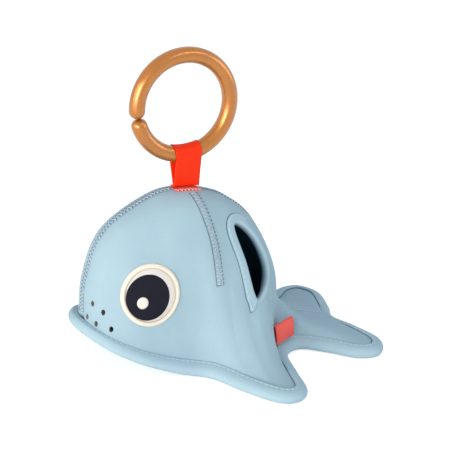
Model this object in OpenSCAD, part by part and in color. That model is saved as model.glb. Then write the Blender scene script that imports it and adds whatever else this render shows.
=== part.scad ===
// Squeaky bath toy: a hollow neoprene whale with bound edges, a hanging ring and a squeaker inside.
// Millimetres. The nose points to -X, the tail to +X, up is +Z, and the toy stands on its belly.

/* [Body] */
// Length over the binding, from the nose to the tips of the tail
overall_length = 188; // [176:1:208]
// Height of the crown above the ground
crown_height = 99; // [88:1:112]
// How far the crown lies in front of the middle of the toy
crown_forward = 30; // [24:1:36]
// Width of the head at the flanks, over the panel edges
head_width = 79; // [70:1:92]
// Height by which the chin rises towards the nose
nose_lift = 20; // [12:1:26]
// Length of the flat belly in front of the middle, before the chin starts to rise
flat_forward = 29; // [24:1:36]

/* [Flippers and tail] */
// Span from flipper tip to flipper tip, over the panel edges
flipper_span = 172; // [150:1:190]
// Distance of the flipper tips behind the middle
flipper_back = 4; // [0:1:8]
// Radius of the flipper tips in plan
flipper_round = 12; // [9:0.5:15]
// Width of the tail stock
stock_width = 46; // [40:1:54]
// Distance of the tail stock behind the middle
stock_back = 35; // [30:1:42]
// Span of the tail flukes, over the panel edges
fluke_span = 100; // [90:1:112]
// Radius of the fluke tips in plan
fluke_round = 14; // [10:0.5:16]
// Depth of the notch between the flukes
notch_depth = 11; // [4:1:14]
// Height of the tail's middle above the ground
tail_height = 10; // [8.5:0.5:14]

/* [Neoprene and binding] */
// Thickness of the neoprene
neoprene = 3.5; // [2.5:0.1:4.5]
// How far the binding presses each neoprene edge together
pinch = 1; // [0.5:0.1:1.5]
// Thickness of the binding tape
tape = 1; // [0.6:0.1:1.4]
// Width of the binding tape's legs on the body's edge
tape_width = 5.5; // [5:0.5:8]
// Width of the tape's legs round the side openings
opening_tape = 4.5; // [3:0.5:6]
// Air between layers that lie on each other
lay_gap = 0.2; // [0.1:0.05:0.4]

/* [Eyes and muzzle] */
// Outer diameter of the eye's embroidered rim
eye_diameter = 35; // [28:0.5:40]
// Width of the embroidered rim
eye_rim = 3; // [2:0.1:4]
// Diameter of the dark pupil
pupil_diameter = 26; // [20:0.5:28]
// Diameter of the light spot on the pupil
glint_diameter = 6.8; // [4:0.2:9]
// Thickness of one embroidered layer
embroidery = 0.8; // [0.5:0.1:1.2]
// Diameter of the vent holes in the muzzle
vent_diameter = 2.4; // [1.6:0.1:3.2]

/* [Ring and ribbon] */
// Outer diameter of the hanging ring
ring_diameter = 65.5; // [56:1:76]
// Diameter of the ring's bar
ring_bar = 8.4; // [6:0.2:10]
// Gap between the two ends of the ring
ring_gap = 1.2; // [0.6:0.1:3]
// Width of the ribbon
ribbon_width = 15.5; // [10:0.5:20]
// Thickness of the ribbon
ribbon_thickness = 0.8; // [0.5:0.1:1.2]
// Height of the ribbon's legs below the ring's bar
ribbon_legs = 13.5; // [11:0.5:18]
// Forward lean of the ribbon and the ring
ribbon_lean = 7; // [0:1:12]

/* [Tag] */
// Length of the tag along its sewn edge
tag_length = 21; // [15:0.5:21.5]
// Height of the folded tag
tag_height = 10; // [7:0.5:14]
// Thickness of one layer of the tag
tag_layer = 0.5; // [0.3:0.1:0.8]
// Lean of the tag towards the body
tag_lean = 14; // [4:1:16]

/* [Stitching] */
// Width of the zigzag on the seams
zigzag_width = 4.4; // [3:0.2:6]
// Length of one zigzag along the seam
zigzag_pitch = 4; // [3:0.5:6]
// Thickness of the sewing thread as it lies
thread = 0.6; // [0.4:0.1:0.8]

/* [Squeaker] */
// Diameter of the squeaker's bellows
squeaker_diameter = 36; // [28:1:40]
// Height of the squeaker
squeaker_height = 32; // [28:1:38]
// Distance of the squeaker behind the start of the chin's rise
squeaker_setback = 3; // [1:0.5:12]
// Number of folds in the bellows
bellows_folds = 4; // [3:1:6]
// Wall of the squeaker's moulded pieces
squeaker_wall = 1.2; // [0.8:0.1:2]

/* [Hidden] */

// Layers at the bound edge, counted from the ground up
rim_pinched = neoprene - pinch;
rim_bottom = tape;
rim_seam = rim_bottom + rim_pinched;
rim_top = rim_seam + rim_pinched;
tape_bulge = 0.6;

// Middle line of the plan: the nose, the notch and the crown
nose_x = -overall_length / 2 + tape + tape_bulge;
fluke_x = overall_length / 2 - tape - tape_bulge;
notch_x = fluke_x - notch_depth;
crown_x = -crown_forward;
flat_x = -flat_forward;
chin_curve = 1.5;

// Round tips of the flippers and of the flukes, in plan
function tip(x, y, r, angle) = [x + r * cos(angle), y + r * sin(angle)];
function flipper_tip(angle) =
    tip(flipper_back, flipper_span / 2 - flipper_round, flipper_round, angle);
function fluke_tip(angle) =
    tip(fluke_x - fluke_round, fluke_span / 2 - fluke_round, fluke_round, angle);
// Middle line: from the nose to the crown, from there to the stock, and on to the notch
tail_start = stock_back + 13;
tail_end = notch_x - tape_width;
function face_x(share) = nose_x + (crown_x - nose_x) * share;
function back_x(share) = crown_x + (stock_back - crown_x) * share;
function tail_x(share) = tail_start + (tail_end - tail_start) * share;
half_head = head_width / 2;

// Stations from the nose to the notch, each with the middle line's x and z, the edge's x and y,
// the reach of the crest and of the wall, and the wall's slope where it meets the edge
function row(x, z, at, reach, rise, slope) = [x, z, at[0], at[1], reach, rise, slope];
stations = [
    row(nose_x + tape_width, chin(nose_x + tape_width) + rim_top, [nose_x, 0], 0, 0, 75),
    row(face_x(0.07), nose_lift + crown_height * 0.273, [face_x(0.144), half_head * 0.58], half_head * 0.3, 18, 66),
    row(face_x(0.23), crown_height * 0.775, [face_x(0.4), half_head * 0.86], half_head * 0.44, 40, 76),
    row(face_x(0.66), crown_height * 0.965, [face_x(0.753), half_head], half_head * 0.66, 42, 74),
    row(crown_x, crown_height, [crown_x + 2, half_head * 1.14], half_head * 0.84, 34, 58),
    row(back_x(0.26), crown_height * 0.97, [flipper_back - 20, flipper_span / 2 - 20], half_head * 0.84, 36, 32),
    row(back_x(0.415), crown_height * 0.92, flipper_tip(140), half_head * 0.82, 46, 18),
    row(back_x(0.554), crown_height * 0.86, flipper_tip(85), half_head * 0.8, 50, 12),
    row(back_x(0.677), crown_height * 0.78, flipper_tip(28), half_head * 0.77, 50, 8),
    row(back_x(0.815), crown_height * 0.646, [flipper_back + 16, flipper_span / 2 - 27], half_head * 0.66, 43, 5),
    row(back_x(0.954), crown_height * 0.465, [stock_back - 8, stock_width / 2 + 13], stock_width * 0.32, 21, 10),
    row(stock_back + 0.5, crown_height * 0.293, [stock_back + 7, stock_width / 2 + 4], stock_width * 0.22, 10, 20),
    row(tail_start, tail_height + 5.5, [stock_back + 22, fluke_span / 2 - 14], stock_width * 0.2, 10, 20),
    row(tail_x(0.35), tail_height + 2.5, fluke_tip(125), fluke_span * 0.12, 14, 12),
    row(tail_x(0.58), tail_height + 1, fluke_tip(65), fluke_span * 0.12, 14, 10),
    row(tail_x(0.78), tail_height, fluke_tip(0), fluke_span * 0.1, 12, 10),
    row(tail_x(0.92), tail_height - 1, [notch_x + notch_depth * 0.55, fluke_span * 0.16], fluke_span * 0.05, 6, 10),
    row(tail_end, rim_top, [notch_x, 0], 0, 0, 12)
];
last = len(stations) - 1;
steps_per_station = 3;
rows = last * steps_per_station;
dome_steps = 12;
slope_step = 0.02;

// Values between the stations, on a smooth curve through them
function flipped(r) = [r[0], r[1], r[2], -r[3], r[4], r[5], r[6]];
function station(i) = i < 0 ? flipped(stations[-i]) : i > last ? flipped(stations[2 * last - i]) : stations[i];
function between(a, b, c, d, u) =
    b + (c - a) * u / 2 + (2 * a - 5 * b + 4 * c - d) * u * u / 2 + (3 * b - a - 3 * c + d) * u * u * u / 2;
function loft(s) =
    let (i = min(last - 1, max(0, floor(s))))
    between(station(i - 1), station(i), station(i + 1), station(i + 2), s - i);
function unit(p) = p / norm(p);

// The bound edge in plan, and the direction that points out of it
function edge(s) =
    s < 0 ? let (e = edge(-s)) [e[0], -e[1]] :
    s > last ? let (e = edge(2 * last - s)) [e[0], -e[1]] :
    let (r = loft(s)) [r[2], r[3]];
function outward(s) =
    let (d = edge(s + slope_step) - edge(s - slope_step))
    unit([-d[1], d[0]]);
// Height of the underside, which is flat behind flat_x and rises to the nose in front of it
function chin(x) = x > flat_x ? 0 : nose_lift * pow((flat_x - x) / (flat_x - nose_x), chin_curve);
// Foot of the wall, where it turns out into the bound edge
function foot(s) =
    let (e = edge(s) - tape_width * outward(s))
    [e[0], e[1], chin(e[0]) + rim_top];

// Outer face of the upper body on the +Y side: s runs from nose to notch, v from crest to foot
function cubic(a, b, c, d, u) =
    a * pow(1 - u, 3) + 3 * b * u * pow(1 - u, 2) + 3 * c * u * u * (1 - u) + d * u * u * u;
function skin(s, v) =
    let (
        r = loft(s),
        crest = [r[0], 0, r[1]],
        wall = foot(s),
        to_crest = [r[0] - wall[0], -wall[1]] / max(0.01, norm([r[0] - wall[0], wall[1]])),
        rise = [to_crest[0] * cos(r[6]), to_crest[1] * cos(r[6]), sin(r[6])]
    )
    v < 0 ? let (m = skin(s, -v)) [m[0], -m[1], m[2]] :
    cubic(crest, crest + [0, r[4], 0], wall + r[5] * rise, wall, v);
function normal(s, v) =
    s <= 0 || s >= last ?
        let (out = outward(s), r = loft(s)) [out[0] * sin(r[6]), out[1] * sin(r[6]), cos(r[6])] :
        let (
            a = max(0.001, s - slope_step),
            b = min(last - 0.001, s + slope_step),
            c = v - slope_step,
            d = min(1, v + slope_step)
        )
        unit(cross(skin(b, v) - skin(a, v), skin(s, d) - skin(s, c)));
// Point at a height over the outer face; under it nothing lies lower than the seam of the bound edge
function over(s, v, h) = skin(s, v) + h * normal(s, v);
function under(s, v) =
    let (p = over(s, v, -neoprene), low = chin(p[0]) + rim_seam + lay_gap)
    [p[0], p[1], v < 1 ? max(p[2], low) : low];

// Side opening: a block of the grid gives way to rings that close in on the opening's edge
block_from = [13, 1];
block_to = [28, 9];
block_size = block_to - block_from;
block_turns = 2 * (block_size[0] + block_size[1]);
block_rings = 3;
opening_middle = [7.15, 0.39];
opening_half = [1.25, 0.18];
opening_slant = 0.1;
opening_taper = 0.35;
opening_hook = 0.55;
function block_step(k) =
    k < block_size[0] ? block_from + [k, 0] :
    k < block_turns / 2 ? [block_to[0], block_from[1] + k - block_size[0]] :
    k < block_turns / 2 + block_size[0] ? block_to - [k - block_turns / 2, 0] :
    [block_from[0], block_to[1] - (k - block_turns / 2 - block_size[0])];
function block_at(k) = let (b = block_step(k)) [b[0] / steps_per_station, b[1] / dome_steps];
function opening_edge(k) =
    let (
        d = block_step(k) - (block_from + block_to) / 2,
        angle = atan2(d[1] / block_size[1], d[0] / block_size[0]),
        down = sin(angle)
    )
    opening_middle + [
        opening_half[0] * cos(angle) * (1 - opening_taper * down) + (opening_slant - opening_hook * down) * down,
        opening_half[1] * down
    ];
// Ring 0 is the opening's edge, ring 1 lies one tape's width outside it, ring 2 halfway to the block
function opening_at(k, ring) =
    let (
        from = opening_edge(k),
        to = block_at(k),
        share = min(0.7, opening_tape / norm(skin(to[0], to[1]) - skin(from[0], from[1])))
    )
    from + (to - from) * [0, share, (1 + share) / 2][ring];

// Half of the upper body on the +Y side, with its bound edge and its side opening
module half_shell() {
    columns = dome_steps + 2;
    ring = [for (i = [0:rows]) let (s = i / steps_per_station) [
        for (j = [0:dome_steps]) over(s, j / dome_steps, 0),
        let (e = edge(s)) [e[0], e[1], chin(e[0]) + rim_top]
    ]];
    lining = [for (i = [0:rows]) let (s = i / steps_per_station) [
        for (j = [0:dome_steps]) under(s, j / dome_steps),
        let (e = edge(s)) [e[0], e[1], chin(e[0]) + rim_seam + lay_gap]
    ]];
    hole = [for (r = [0:block_rings - 1]) for (k = [0:block_turns - 1]) opening_at(k, r)];
    count = (rows + 1) * columns;
    // The crest and the foot are one point at the nose and at the notch
    function at(i, j, side) =
        side * count + i * columns + ((i == 0 || i == rows) && j <= dome_steps ? 0 : j);
    function hole_at(k, r, side) =
        let (turn = k % block_turns, b = block_step(turn))
        r == block_rings ? at(b[0], b[1], side) :
        2 * count + (side * block_rings + r) * block_turns + turn;
    function kept(i, j) = i < block_from[0] || i >= block_to[0] || j < block_from[1] || j >= block_to[1];
    function facets(a, b, c, d) = [
        if (a != b && b != c && a != c) [a, b, c],
        if (a != c && c != d && a != d) [a, c, d]
    ];
    outer = [for (i = [0:rows - 1]) for (j = [0:columns - 2]) if (kept(i, j))
        each facets(at(i, j, 0), at(i, j + 1, 0), at(i + 1, j + 1, 0), at(i + 1, j, 0))];
    inner = [for (i = [0:rows - 1]) for (j = [0:columns - 2]) if (kept(i, j))
        each facets(at(i, j, 1), at(i + 1, j, 1), at(i + 1, j + 1, 1), at(i, j + 1, 1))];
    hole_outer = [for (k = [0:block_turns - 1]) for (r = [0:block_rings - 1])
        each facets(hole_at(k, r + 1, 0), hole_at(k, r, 0), hole_at(k + 1, r, 0), hole_at(k + 1, r + 1, 0))];
    hole_inner = [for (k = [0:block_turns - 1]) for (r = [0:block_rings - 1])
        each facets(hole_at(k, r + 1, 1), hole_at(k + 1, r + 1, 1), hole_at(k + 1, r, 1), hole_at(k, r, 1))];
    hole_wall = [for (k = [0:block_turns - 1])
        each facets(hole_at(k, 0, 0), hole_at(k, 0, 1), hole_at(k + 1, 0, 1), hole_at(k + 1, 0, 0))];
    crest_wall = [for (i = [0:rows - 1])
        each facets(at(i, 0, 0), at(i + 1, 0, 0), at(i + 1, 0, 1), at(i, 0, 1))];
    edge_wall = [for (i = [0:rows - 1]) let (j = columns - 1)
        each facets(at(i, j, 0), at(i, j, 1), at(i + 1, j, 1), at(i + 1, j, 0))];
    nose_wall = facets(at(0, 0, 0), at(0, 0, 1), at(0, columns - 1, 1), at(0, columns - 1, 0));
    notch_wall = facets(at(rows, 0, 0), at(rows, columns - 1, 0), at(rows, columns - 1, 1), at(rows, 0, 1));
    polyhedron(
        points = concat(
            [for (r = ring) each r],
            [for (r = lining) each r],
            [for (p = hole) over(p[0], p[1], 0)],
            [for (p = hole) under(p[0], p[1])]
        ),
        faces = concat(
            outer, inner, hole_outer, hole_inner, hole_wall, crest_wall, edge_wall, nose_wall, notch_wall
        ),
        convexity = 10
    );
}

// Places of the vents in the muzzle
vents = [[0.84, 0.46], [1.1, 0.7], [0.44, 0.559], [0.7, 0.84], [1.23, 0.891]];
module vent_holes() {
    for (p = vents) {
        out = normal(p[0], p[1]);
        translate(skin(p[0], p[1]))
            rotate([0, acos(out[2]), atan2(out[1], out[0])])
                cylinder(d = vent_diameter, h = 4 * neoprene, center = true, $fn = 24);
    }
}

module right_panel() {
    color("lightblue")
        difference() {
            half_shell();
            vent_holes();
        }
}

module left_panel() {
    color("lightblue")
        mirror([0, 1, 0])
            difference() {
                half_shell();
                vent_holes();
            }
}

// Plan outline of the panels, drawn in by a distance
function plan(inset) = [
    for (i = [0:rows]) let (s = i / steps_per_station) edge(s) - inset * outward(s),
    for (i = [rows - 1:-1:1])
        let (s = i / steps_per_station, e = edge(s) - inset * outward(s)) [e[0], -e[1]]
];

// Side view of the belly as a strip between two heights over the underside
module belly_strip(low, high) {
    chin_steps = 12;
    xs = concat([fluke_x + 5, flat_x], [for (k = [1:chin_steps + 1]) flat_x + (nose_x - flat_x) * k / chin_steps]);
    rotate([90, 0, 0])
        linear_extrude(flipper_span + 20, center = true)
            polygon(concat(
                [for (x = xs) [x, chin(x) + low]],
                [for (k = [len(xs) - 1:-1:0]) [xs[k], chin(xs[k]) + high]]
            ));
}

module belly_panel() {
    color("lightblue") {
        intersection() {
            linear_extrude(nose_lift * 3) polygon(plan(0));
            belly_strip(rim_bottom, rim_seam);
        }
        intersection() {
            linear_extrude(nose_lift * 3) polygon(plan(tape_width + lay_gap));
            belly_strip(0, rim_bottom + rim_pinched / 2);
        }
    }
}

// Binding tape folded round the bound edge
module edge_binding() {
    section = [
        [-tape_width + lay_gap, rim_top + lay_gap],
        [-tape_width + lay_gap, rim_top + tape],
        [0, rim_top + tape],
        [tape, rim_top * 0.85],
        [tape + tape_bulge, rim_seam],
        [tape, rim_top * 0.2],
        [0, 0],
        [-tape_width + lay_gap, 0],
        [-tape_width + lay_gap, rim_bottom - lay_gap],
        [lay_gap, rim_bottom - lay_gap],
        [lay_gap, rim_top + lay_gap]
    ];
    sides = len(section);
    turns = 2 * rows;
    points = [for (i = [0:turns - 1]) let (
        s = i <= rows ? i / steps_per_station : (turns - i) / steps_per_station,
        half = i <= rows ? 1 : -1,
        e = edge(s),
        out = outward(s)
    ) for (p = section) [
        e[0] + p[0] * out[0],
        half * (e[1] + p[0] * out[1]),
        chin(e[0] + min(0, p[0]) * out[0]) + p[1]
    ]];
    faces = [for (i = [0:turns - 1]) for (k = [0:sides - 1]) let (
        a = i * sides + k,
        b = i * sides + (k + 1) % sides,
        c = (i + 1) % turns * sides + (k + 1) % sides,
        d = (i + 1) % turns * sides + k
    ) each [[a, b, c], [a, c, d]]];
    color("skyblue") polyhedron(points = points, faces = faces, convexity = 10);
}

// Tape folded round the edge of the side opening
module opening_binding() {
    function section(k) =
        let (
            e = opening_at(k, 0),
            t = opening_at(k, 1),
            edge_out = normal(e[0], e[1]),
            tape_out = normal(t[0], t[1]),
            top = skin(e[0], e[1]),
            top_end = skin(t[0], t[1]),
            low = under(e[0], e[1]),
            low_end = under(t[0], t[1]),
            inward = unit(top + low - top_end - low_end),
            cover = lay_gap + tape
        )
        [
            top_end + lay_gap * tape_out,
            top_end + cover * tape_out,
            top + cover * edge_out,
            (top + low) / 2 + (cover + tape_bulge) * inward,
            low - cover * edge_out,
            low_end - cover * tape_out,
            low_end - lay_gap * tape_out,
            low - lay_gap * edge_out + lay_gap * inward,
            top + lay_gap * edge_out + lay_gap * inward
        ];
    sections = [for (k = [0:block_turns - 1]) section(k)];
    sides = len(sections[0]);
    polyhedron(
        points = [for (p = sections) each p],
        faces = [for (i = [0:block_turns - 1]) for (k = [0:sides - 1]) let (
            a = i * sides + k,
            b = i * sides + (k + 1) % sides,
            c = (i + 1) % block_turns * sides + (k + 1) % sides,
            d = (i + 1) % block_turns * sides + k
        ) each [[a, b, c], [a, c, d]]],
        convexity = 10
    );
}

module right_opening_binding() {
    color("skyblue") opening_binding();
}

module left_opening_binding() {
    color("skyblue") mirror([0, 1, 0]) opening_binding();
}

// Zigzag of thread along a path on the outer face
stitch_lift = 0.3;
module stitch_row(path, width) {
    n = len(path) - 1;
    middle = [for (p = path) skin(p[0], p[1])];
    corners = [[-1, 0], [-1, 1], [1, 1], [1, 0]];
    mitre = thread / 2 * norm([zigzag_pitch / 2, width]) / (zigzag_pitch / 2);
    points = [for (k = [0:n]) let (
        along = unit(middle[min(n, k + 1)] - middle[max(0, k - 1)]),
        out = normal(path[k][0], path[k][1]),
        side = cross(out, along),
        at = middle[k] + (k % 2 == 0 ? width : -width) / 2 * side
    ) for (c = corners) at + c[0] * mitre * side + (stitch_lift + c[1] * thread) * out];
    sides = [for (k = [0:n - 1]) for (c = [0:3]) let (
        a = 4 * k + c,
        b = 4 * k + (c + 1) % 4,
        d = a + 4,
        e = b + 4
    ) each [[a, b, e], [a, e, d]]];
    polyhedron(
        points = points,
        faces = concat(sides, [[3, 2, 1], [3, 1, 0], [4 * n, 4 * n + 1, 4 * n + 2], [4 * n, 4 * n + 2, 4 * n + 3]]),
        convexity = 10
    );
}
// Even steps along a path that is given by a few places on the outer face
function stitch_path(places) = [
    for (i = [0:len(places) - 2]) let (
        a = places[i],
        b = places[i + 1],
        legs = max(1, round(2 * norm(skin(b[0], b[1]) - skin(a[0], a[1])) / zigzag_pitch))
    ) for (k = [0:legs - 1]) a + (b - a) * k / legs,
    places[len(places) - 1]
];
function crest_places(from, to) = [for (k = [0:ceil((to - from) * 2)]) [min(to, from + k / 2), 0]];

module front_seam_stitching() {
    color("powderblue") stitch_row(stitch_path(crest_places(0.5, 3.5)), zigzag_width);
}

module back_seam_stitching() {
    color("powderblue") stitch_row(stitch_path(crest_places(4.5, 9.5)), zigzag_width);
}

module tail_seam_stitching() {
    color("powderblue") stitch_row(stitch_path(crest_places(12, last - 1)), zigzag_width / 2);
}

// Dart from the crown down the side, in front of the opening
dart = [[4.06, 0.085], [4.14, 0.18], [4.24, 0.276], [4.42, 0.402], [4.5, 0.49], [4.55, 0.58]];
module dart_stitching() {
    stitch_row(stitch_path(dart), zigzag_width);
}

module right_dart_stitching() {
    color("powderblue") dart_stitching();
}

module left_dart_stitching() {
    color("powderblue") mirror([0, 1, 0]) dart_stitching();
}

// Rows that hold the ribbon's foot, one on each side of it
ribbon_row = 0.045;
module ribbon_stitching() {
    half = ribbon_width / 2 / norm(skin(4.5, 0) - skin(3.5, 0));
    stitch_row(stitch_path([for (k = [-1:1]) [4 + k * half, ribbon_row]]), zigzag_width / 2);
}

module right_ribbon_stitching() {
    color("salmon") ribbon_stitching();
}

module left_ribbon_stitching() {
    color("salmon") mirror([0, 1, 0]) ribbon_stitching();
}

// Embroidered eye: sheets laid on the outer face round the eye's middle
eye_place = [2.49, 0.698];
eye_spot = skin(eye_place[0], eye_place[1]);
eye_out = normal(eye_place[0], eye_place[1]);
eye_along = unit(cross([0, 0, 1], eye_out));
eye_up = cross(eye_out, eye_along);
pupil_shift = [1, -1.3];
glint_shift = [4.3, -4.1];
eye_lift = 0.3;
// Place on the outer face that lies over a point of the eye's own plane
function settle(p, target, tries) =
    tries == 0 ? p :
    let (
        miss = skin(p[0], p[1]) - eye_spot,
        ds = (skin(p[0] + slope_step, p[1]) - skin(p[0] - slope_step, p[1])) / (2 * slope_step),
        dv = (skin(p[0], p[1] + slope_step) - skin(p[0], p[1] - slope_step)) / (2 * slope_step),
        a = ds * eye_along,
        b = dv * eye_along,
        c = ds * eye_up,
        d = dv * eye_up,
        r = target - [miss * eye_along, miss * eye_up],
        step = [d * r[0] - b * r[1], a * r[1] - c * r[0]] / (a * d - b * c)
    )
    settle(p + step, target, tries - 1);
// Sheet between two radii, from height low to height high, its edges soft by the last value
module eye_sheet(shift, radii, low, high, sectors, soft) {
    rings = len(radii);
    closed = radii[0] == 0;
    places = [for (r = radii) for (k = [0:sectors - 1])
        settle(eye_place, shift + r * [cos(360 * k / sectors), sin(360 * k / sectors)], 5)];
    function rim_drop(i) = (i == 0 && !closed) || i == rings - 1 ? soft : 0;
    function at(i, k, side) = (side * rings + i) * sectors + (i == 0 && closed ? 0 : k % sectors);
    function facets(a, b, c, d) = [if (a != b) [a, b, c], [a, c, d]];
    top = [for (i = [0:rings - 2]) for (k = [0:sectors - 1])
        each facets(at(i, k, 1), at(i, k + 1, 1), at(i + 1, k + 1, 1), at(i + 1, k, 1))];
    bottom = [for (i = [0:rings - 2]) for (k = [0:sectors - 1])
        each facets(at(i, k + 1, 0), at(i, k, 0), at(i + 1, k, 0), at(i + 1, k + 1, 0))];
    outer_wall = [for (k = [0:sectors - 1]) let (i = rings - 1)
        each facets(at(i, k, 0), at(i, k, 1), at(i, k + 1, 1), at(i, k + 1, 0))];
    inner_wall = [if (!closed) for (k = [0:sectors - 1])
        each facets(at(0, k + 1, 0), at(0, k + 1, 1), at(0, k, 1), at(0, k, 0))];
    polyhedron(
        points = concat(
            [for (p = places) over(p[0], p[1], low)],
            [for (i = [0:len(places) - 1])
                over(places[i][0], places[i][1], high - rim_drop(floor(i / sectors)))]
        ),
        faces = concat(top, bottom, outer_wall, inner_wall),
        convexity = 10
    );
}
eye_radius = eye_diameter / 2;
white_radius = eye_radius - eye_rim - lay_gap;
white_top = eye_lift + embroidery;
pupil_low = white_top + lay_gap;
pupil_top = pupil_low + embroidery;
glint_low = pupil_top + lay_gap;
function shares(r, n) = [for (k = [0:n]) r * k / n];
module eye_white() {
    eye_sheet([0, 0], shares(white_radius, 3), eye_lift, white_top, 28, 0);
}
module eye_rim_ring() {
    eye_sheet([0, 0], [for (k = [0:2]) eye_radius - eye_rim * (1 - k / 2)], eye_lift, white_top + embroidery,
        36, embroidery * 0.6);
}
module pupil() {
    eye_sheet(pupil_shift, shares(min(pupil_diameter / 2, white_radius - norm(pupil_shift) - lay_gap), 3),
        pupil_low, pupil_top, 28, 0);
}
module glint() {
    eye_sheet(glint_shift, shares(glint_diameter / 2, 2), glint_low, glint_low + embroidery * 0.8, 20, 0.2);
}

module right_eye_white() {
    color("ghostwhite") eye_white();
}

module left_eye_white() {
    color("ghostwhite") mirror([0, 1, 0]) eye_white();
}

module right_eye_rim() {
    color("cornsilk") eye_rim_ring();
}

module left_eye_rim() {
    color("cornsilk") mirror([0, 1, 0]) eye_rim_ring();
}

module right_pupil() {
    color("midnightblue") pupil();
}

module left_pupil() {
    color("midnightblue") mirror([0, 1, 0]) pupil();
}

module right_glint() {
    color("cornsilk") glint();
}

module left_glint() {
    color("cornsilk") mirror([0, 1, 0]) glint();
}

// Outline of a band that runs round two circles, the lower one at the foot and the upper one over it
function band(foot_radius, top_radius, height) =
    let (lean = asin((top_radius - foot_radius) / height))
    concat(
        [for (k = [0:18]) let (a = -lean + (180 + 2 * lean) * k / 18) [0, height] + top_radius * [cos(a), sin(a)]],
        [for (k = [0:8]) let (a = 180 + lean + (180 - 2 * lean) * k / 8) foot_radius * [cos(a), sin(a)]]
    );
module folded_band(foot_radius, top_radius, height, thickness, width) {
    rotate([90, 0, 90])
        linear_extrude(width, center = true)
            difference() {
                polygon(band(foot_radius, top_radius, height));
                polygon(band(foot_radius - thickness, top_radius - thickness, height));
            }
}

// Ribbon and ring stand over the crown and lean forward together
fold_foot = ribbon_thickness + 0.25;
fold_lift = fold_foot + stitch_lift + 0.7;
bar_radius = ring_bar / 2;
ring_radius = ring_diameter / 2 - bar_radius;
bar_sag = ring_radius - sqrt(ring_radius * ring_radius - ribbon_width * ribbon_width / 4);
bar_height = ribbon_legs + bar_radius;
ribbon_ease = 0.35;
module at_crown() {
    translate([crown_x, 0, crown_height + fold_lift])
        rotate([0, -ribbon_lean, 0])
            children();
}

module ribbon_loop() {
    color("orangered")
        at_crown()
            folded_band(fold_foot, bar_radius + bar_sag / 2 + ribbon_ease + ribbon_thickness,
                bar_height + bar_sag / 2, ribbon_thickness, ribbon_width);
}

// Open ring with two round ends
gap_angle = 195;
gap_half = asin((ring_gap / 2 + bar_radius) / ring_radius);
end_inset = 0.05;
module hanging_ring() {
    color("goldenrod")
        at_crown()
            translate([0, 0, bar_height + ring_radius])
                rotate([90, 0, 0]) {
                    rotate([0, 0, gap_angle + gap_half])
                        rotate_extrude(angle = 360 - 2 * gap_half, $fn = 96)
                            translate([ring_radius, 0])
                                circle(bar_radius, $fn = 32);
                    for (side = [-1, 1])
                        rotate([0, 0, gap_angle + side * gap_half])
                            translate([ring_radius, 0, 0])
                                sphere(bar_radius - end_inset, $fn = 48);
                }
}

// Folded tag, sewn by its foot to the binding beside the tail
tag_station = 10.5;
tag_out = 2;
tag_lift = 0.9;
tag_foot = tag_layer + 0.15;
tag_fold = tag_layer + 0.35;
module side_tag() {
    at = foot(tag_station);
    out = outward(tag_station);
    color("tomato")
        mirror([0, 1, 0])
            translate([
                at[0] + tag_out * out[0],
                at[1] + tag_out * out[1],
                rim_top + tape + tag_lift + tag_foot
            ])
                rotate([0, 0, atan2(out[1], out[0]) - 90])
                    rotate([tag_lean, 0, 0])
                        folded_band(tag_foot, tag_fold, tag_height - tag_fold, tag_layer, tag_length);
}

// Squeaker on the belly's inner face
squeaker_x = flat_x + squeaker_diameter / 2 + squeaker_setback;
squeaker_radius = squeaker_diameter / 2;
neck_radius = squeaker_radius - 4.5;
plate = 1.6 * squeaker_wall;
collar = 3;
tube_radius = 4.2;
tube_length = 11;
flange = 1;
reed_thickness = 0.4;
reed_length = 8;
module at_squeaker() {
    translate([squeaker_x, 0, rim_seam])
        children();
}

module squeaker_base() {
    color("white")
        at_squeaker()
            rotate_extrude($fn = 64)
                polygon([
                    [0, 0],
                    [squeaker_radius, 0],
                    [squeaker_radius, plate],
                    [neck_radius - squeaker_wall - lay_gap, plate],
                    [neck_radius - squeaker_wall - lay_gap, plate + collar],
                    [neck_radius - 2 * squeaker_wall - lay_gap, plate + collar],
                    [neck_radius - 2 * squeaker_wall - lay_gap, plate],
                    [0, plate]
                ]);
}

// Zigzag wall between the base and the cap
module squeaker_bellows() {
    low = plate;
    pitch = (squeaker_height - 2 * plate) / bellows_folds;
    outer = [
        for (k = [0:bellows_folds - 1]) each [
            [neck_radius, low + k * pitch],
            [squeaker_radius - 0.5, low + (k + 0.5) * pitch]
        ],
        [neck_radius, low + bellows_folds * pitch]
    ];
    color("whitesmoke")
        at_squeaker()
            rotate_extrude($fn = 64)
                polygon(concat(
                    outer,
                    [for (k = [len(outer) - 1:-1:0]) outer[k] - [squeaker_wall, 0]]
                ));
}

module squeaker_cap() {
    low = squeaker_height - plate;
    color("white")
        at_squeaker()
            rotate_extrude($fn = 64)
                polygon([
                    [tube_radius + lay_gap, low],
                    [neck_radius - 2 * squeaker_wall - lay_gap, low],
                    [neck_radius - 2 * squeaker_wall - lay_gap, low - collar],
                    [neck_radius - squeaker_wall - lay_gap, low - collar],
                    [neck_radius - squeaker_wall - lay_gap, low],
                    [squeaker_radius, low],
                    [squeaker_radius, squeaker_height],
                    [tube_radius + lay_gap, squeaker_height]
                ]);
}

module squeaker_reed_tube() {
    inner = tube_radius - squeaker_wall;
    color("gainsboro")
        at_squeaker()
            rotate_extrude($fn = 48)
                polygon([
                    [inner, squeaker_height - tube_length],
                    [tube_radius, squeaker_height - tube_length],
                    [tube_radius, squeaker_height],
                    [tube_radius + 2, squeaker_height],
                    [tube_radius + 2, squeaker_height + flange],
                    [inner, squeaker_height + flange]
                ]);
}

module squeaker_reed() {
    width = 2 * (tube_radius - squeaker_wall - lay_gap);
    color("silver")
        at_squeaker()
            translate([-width / 2, -reed_thickness / 2, squeaker_height - tube_length + 1])
                cube([width, reed_thickness, reed_length]);
}

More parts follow.
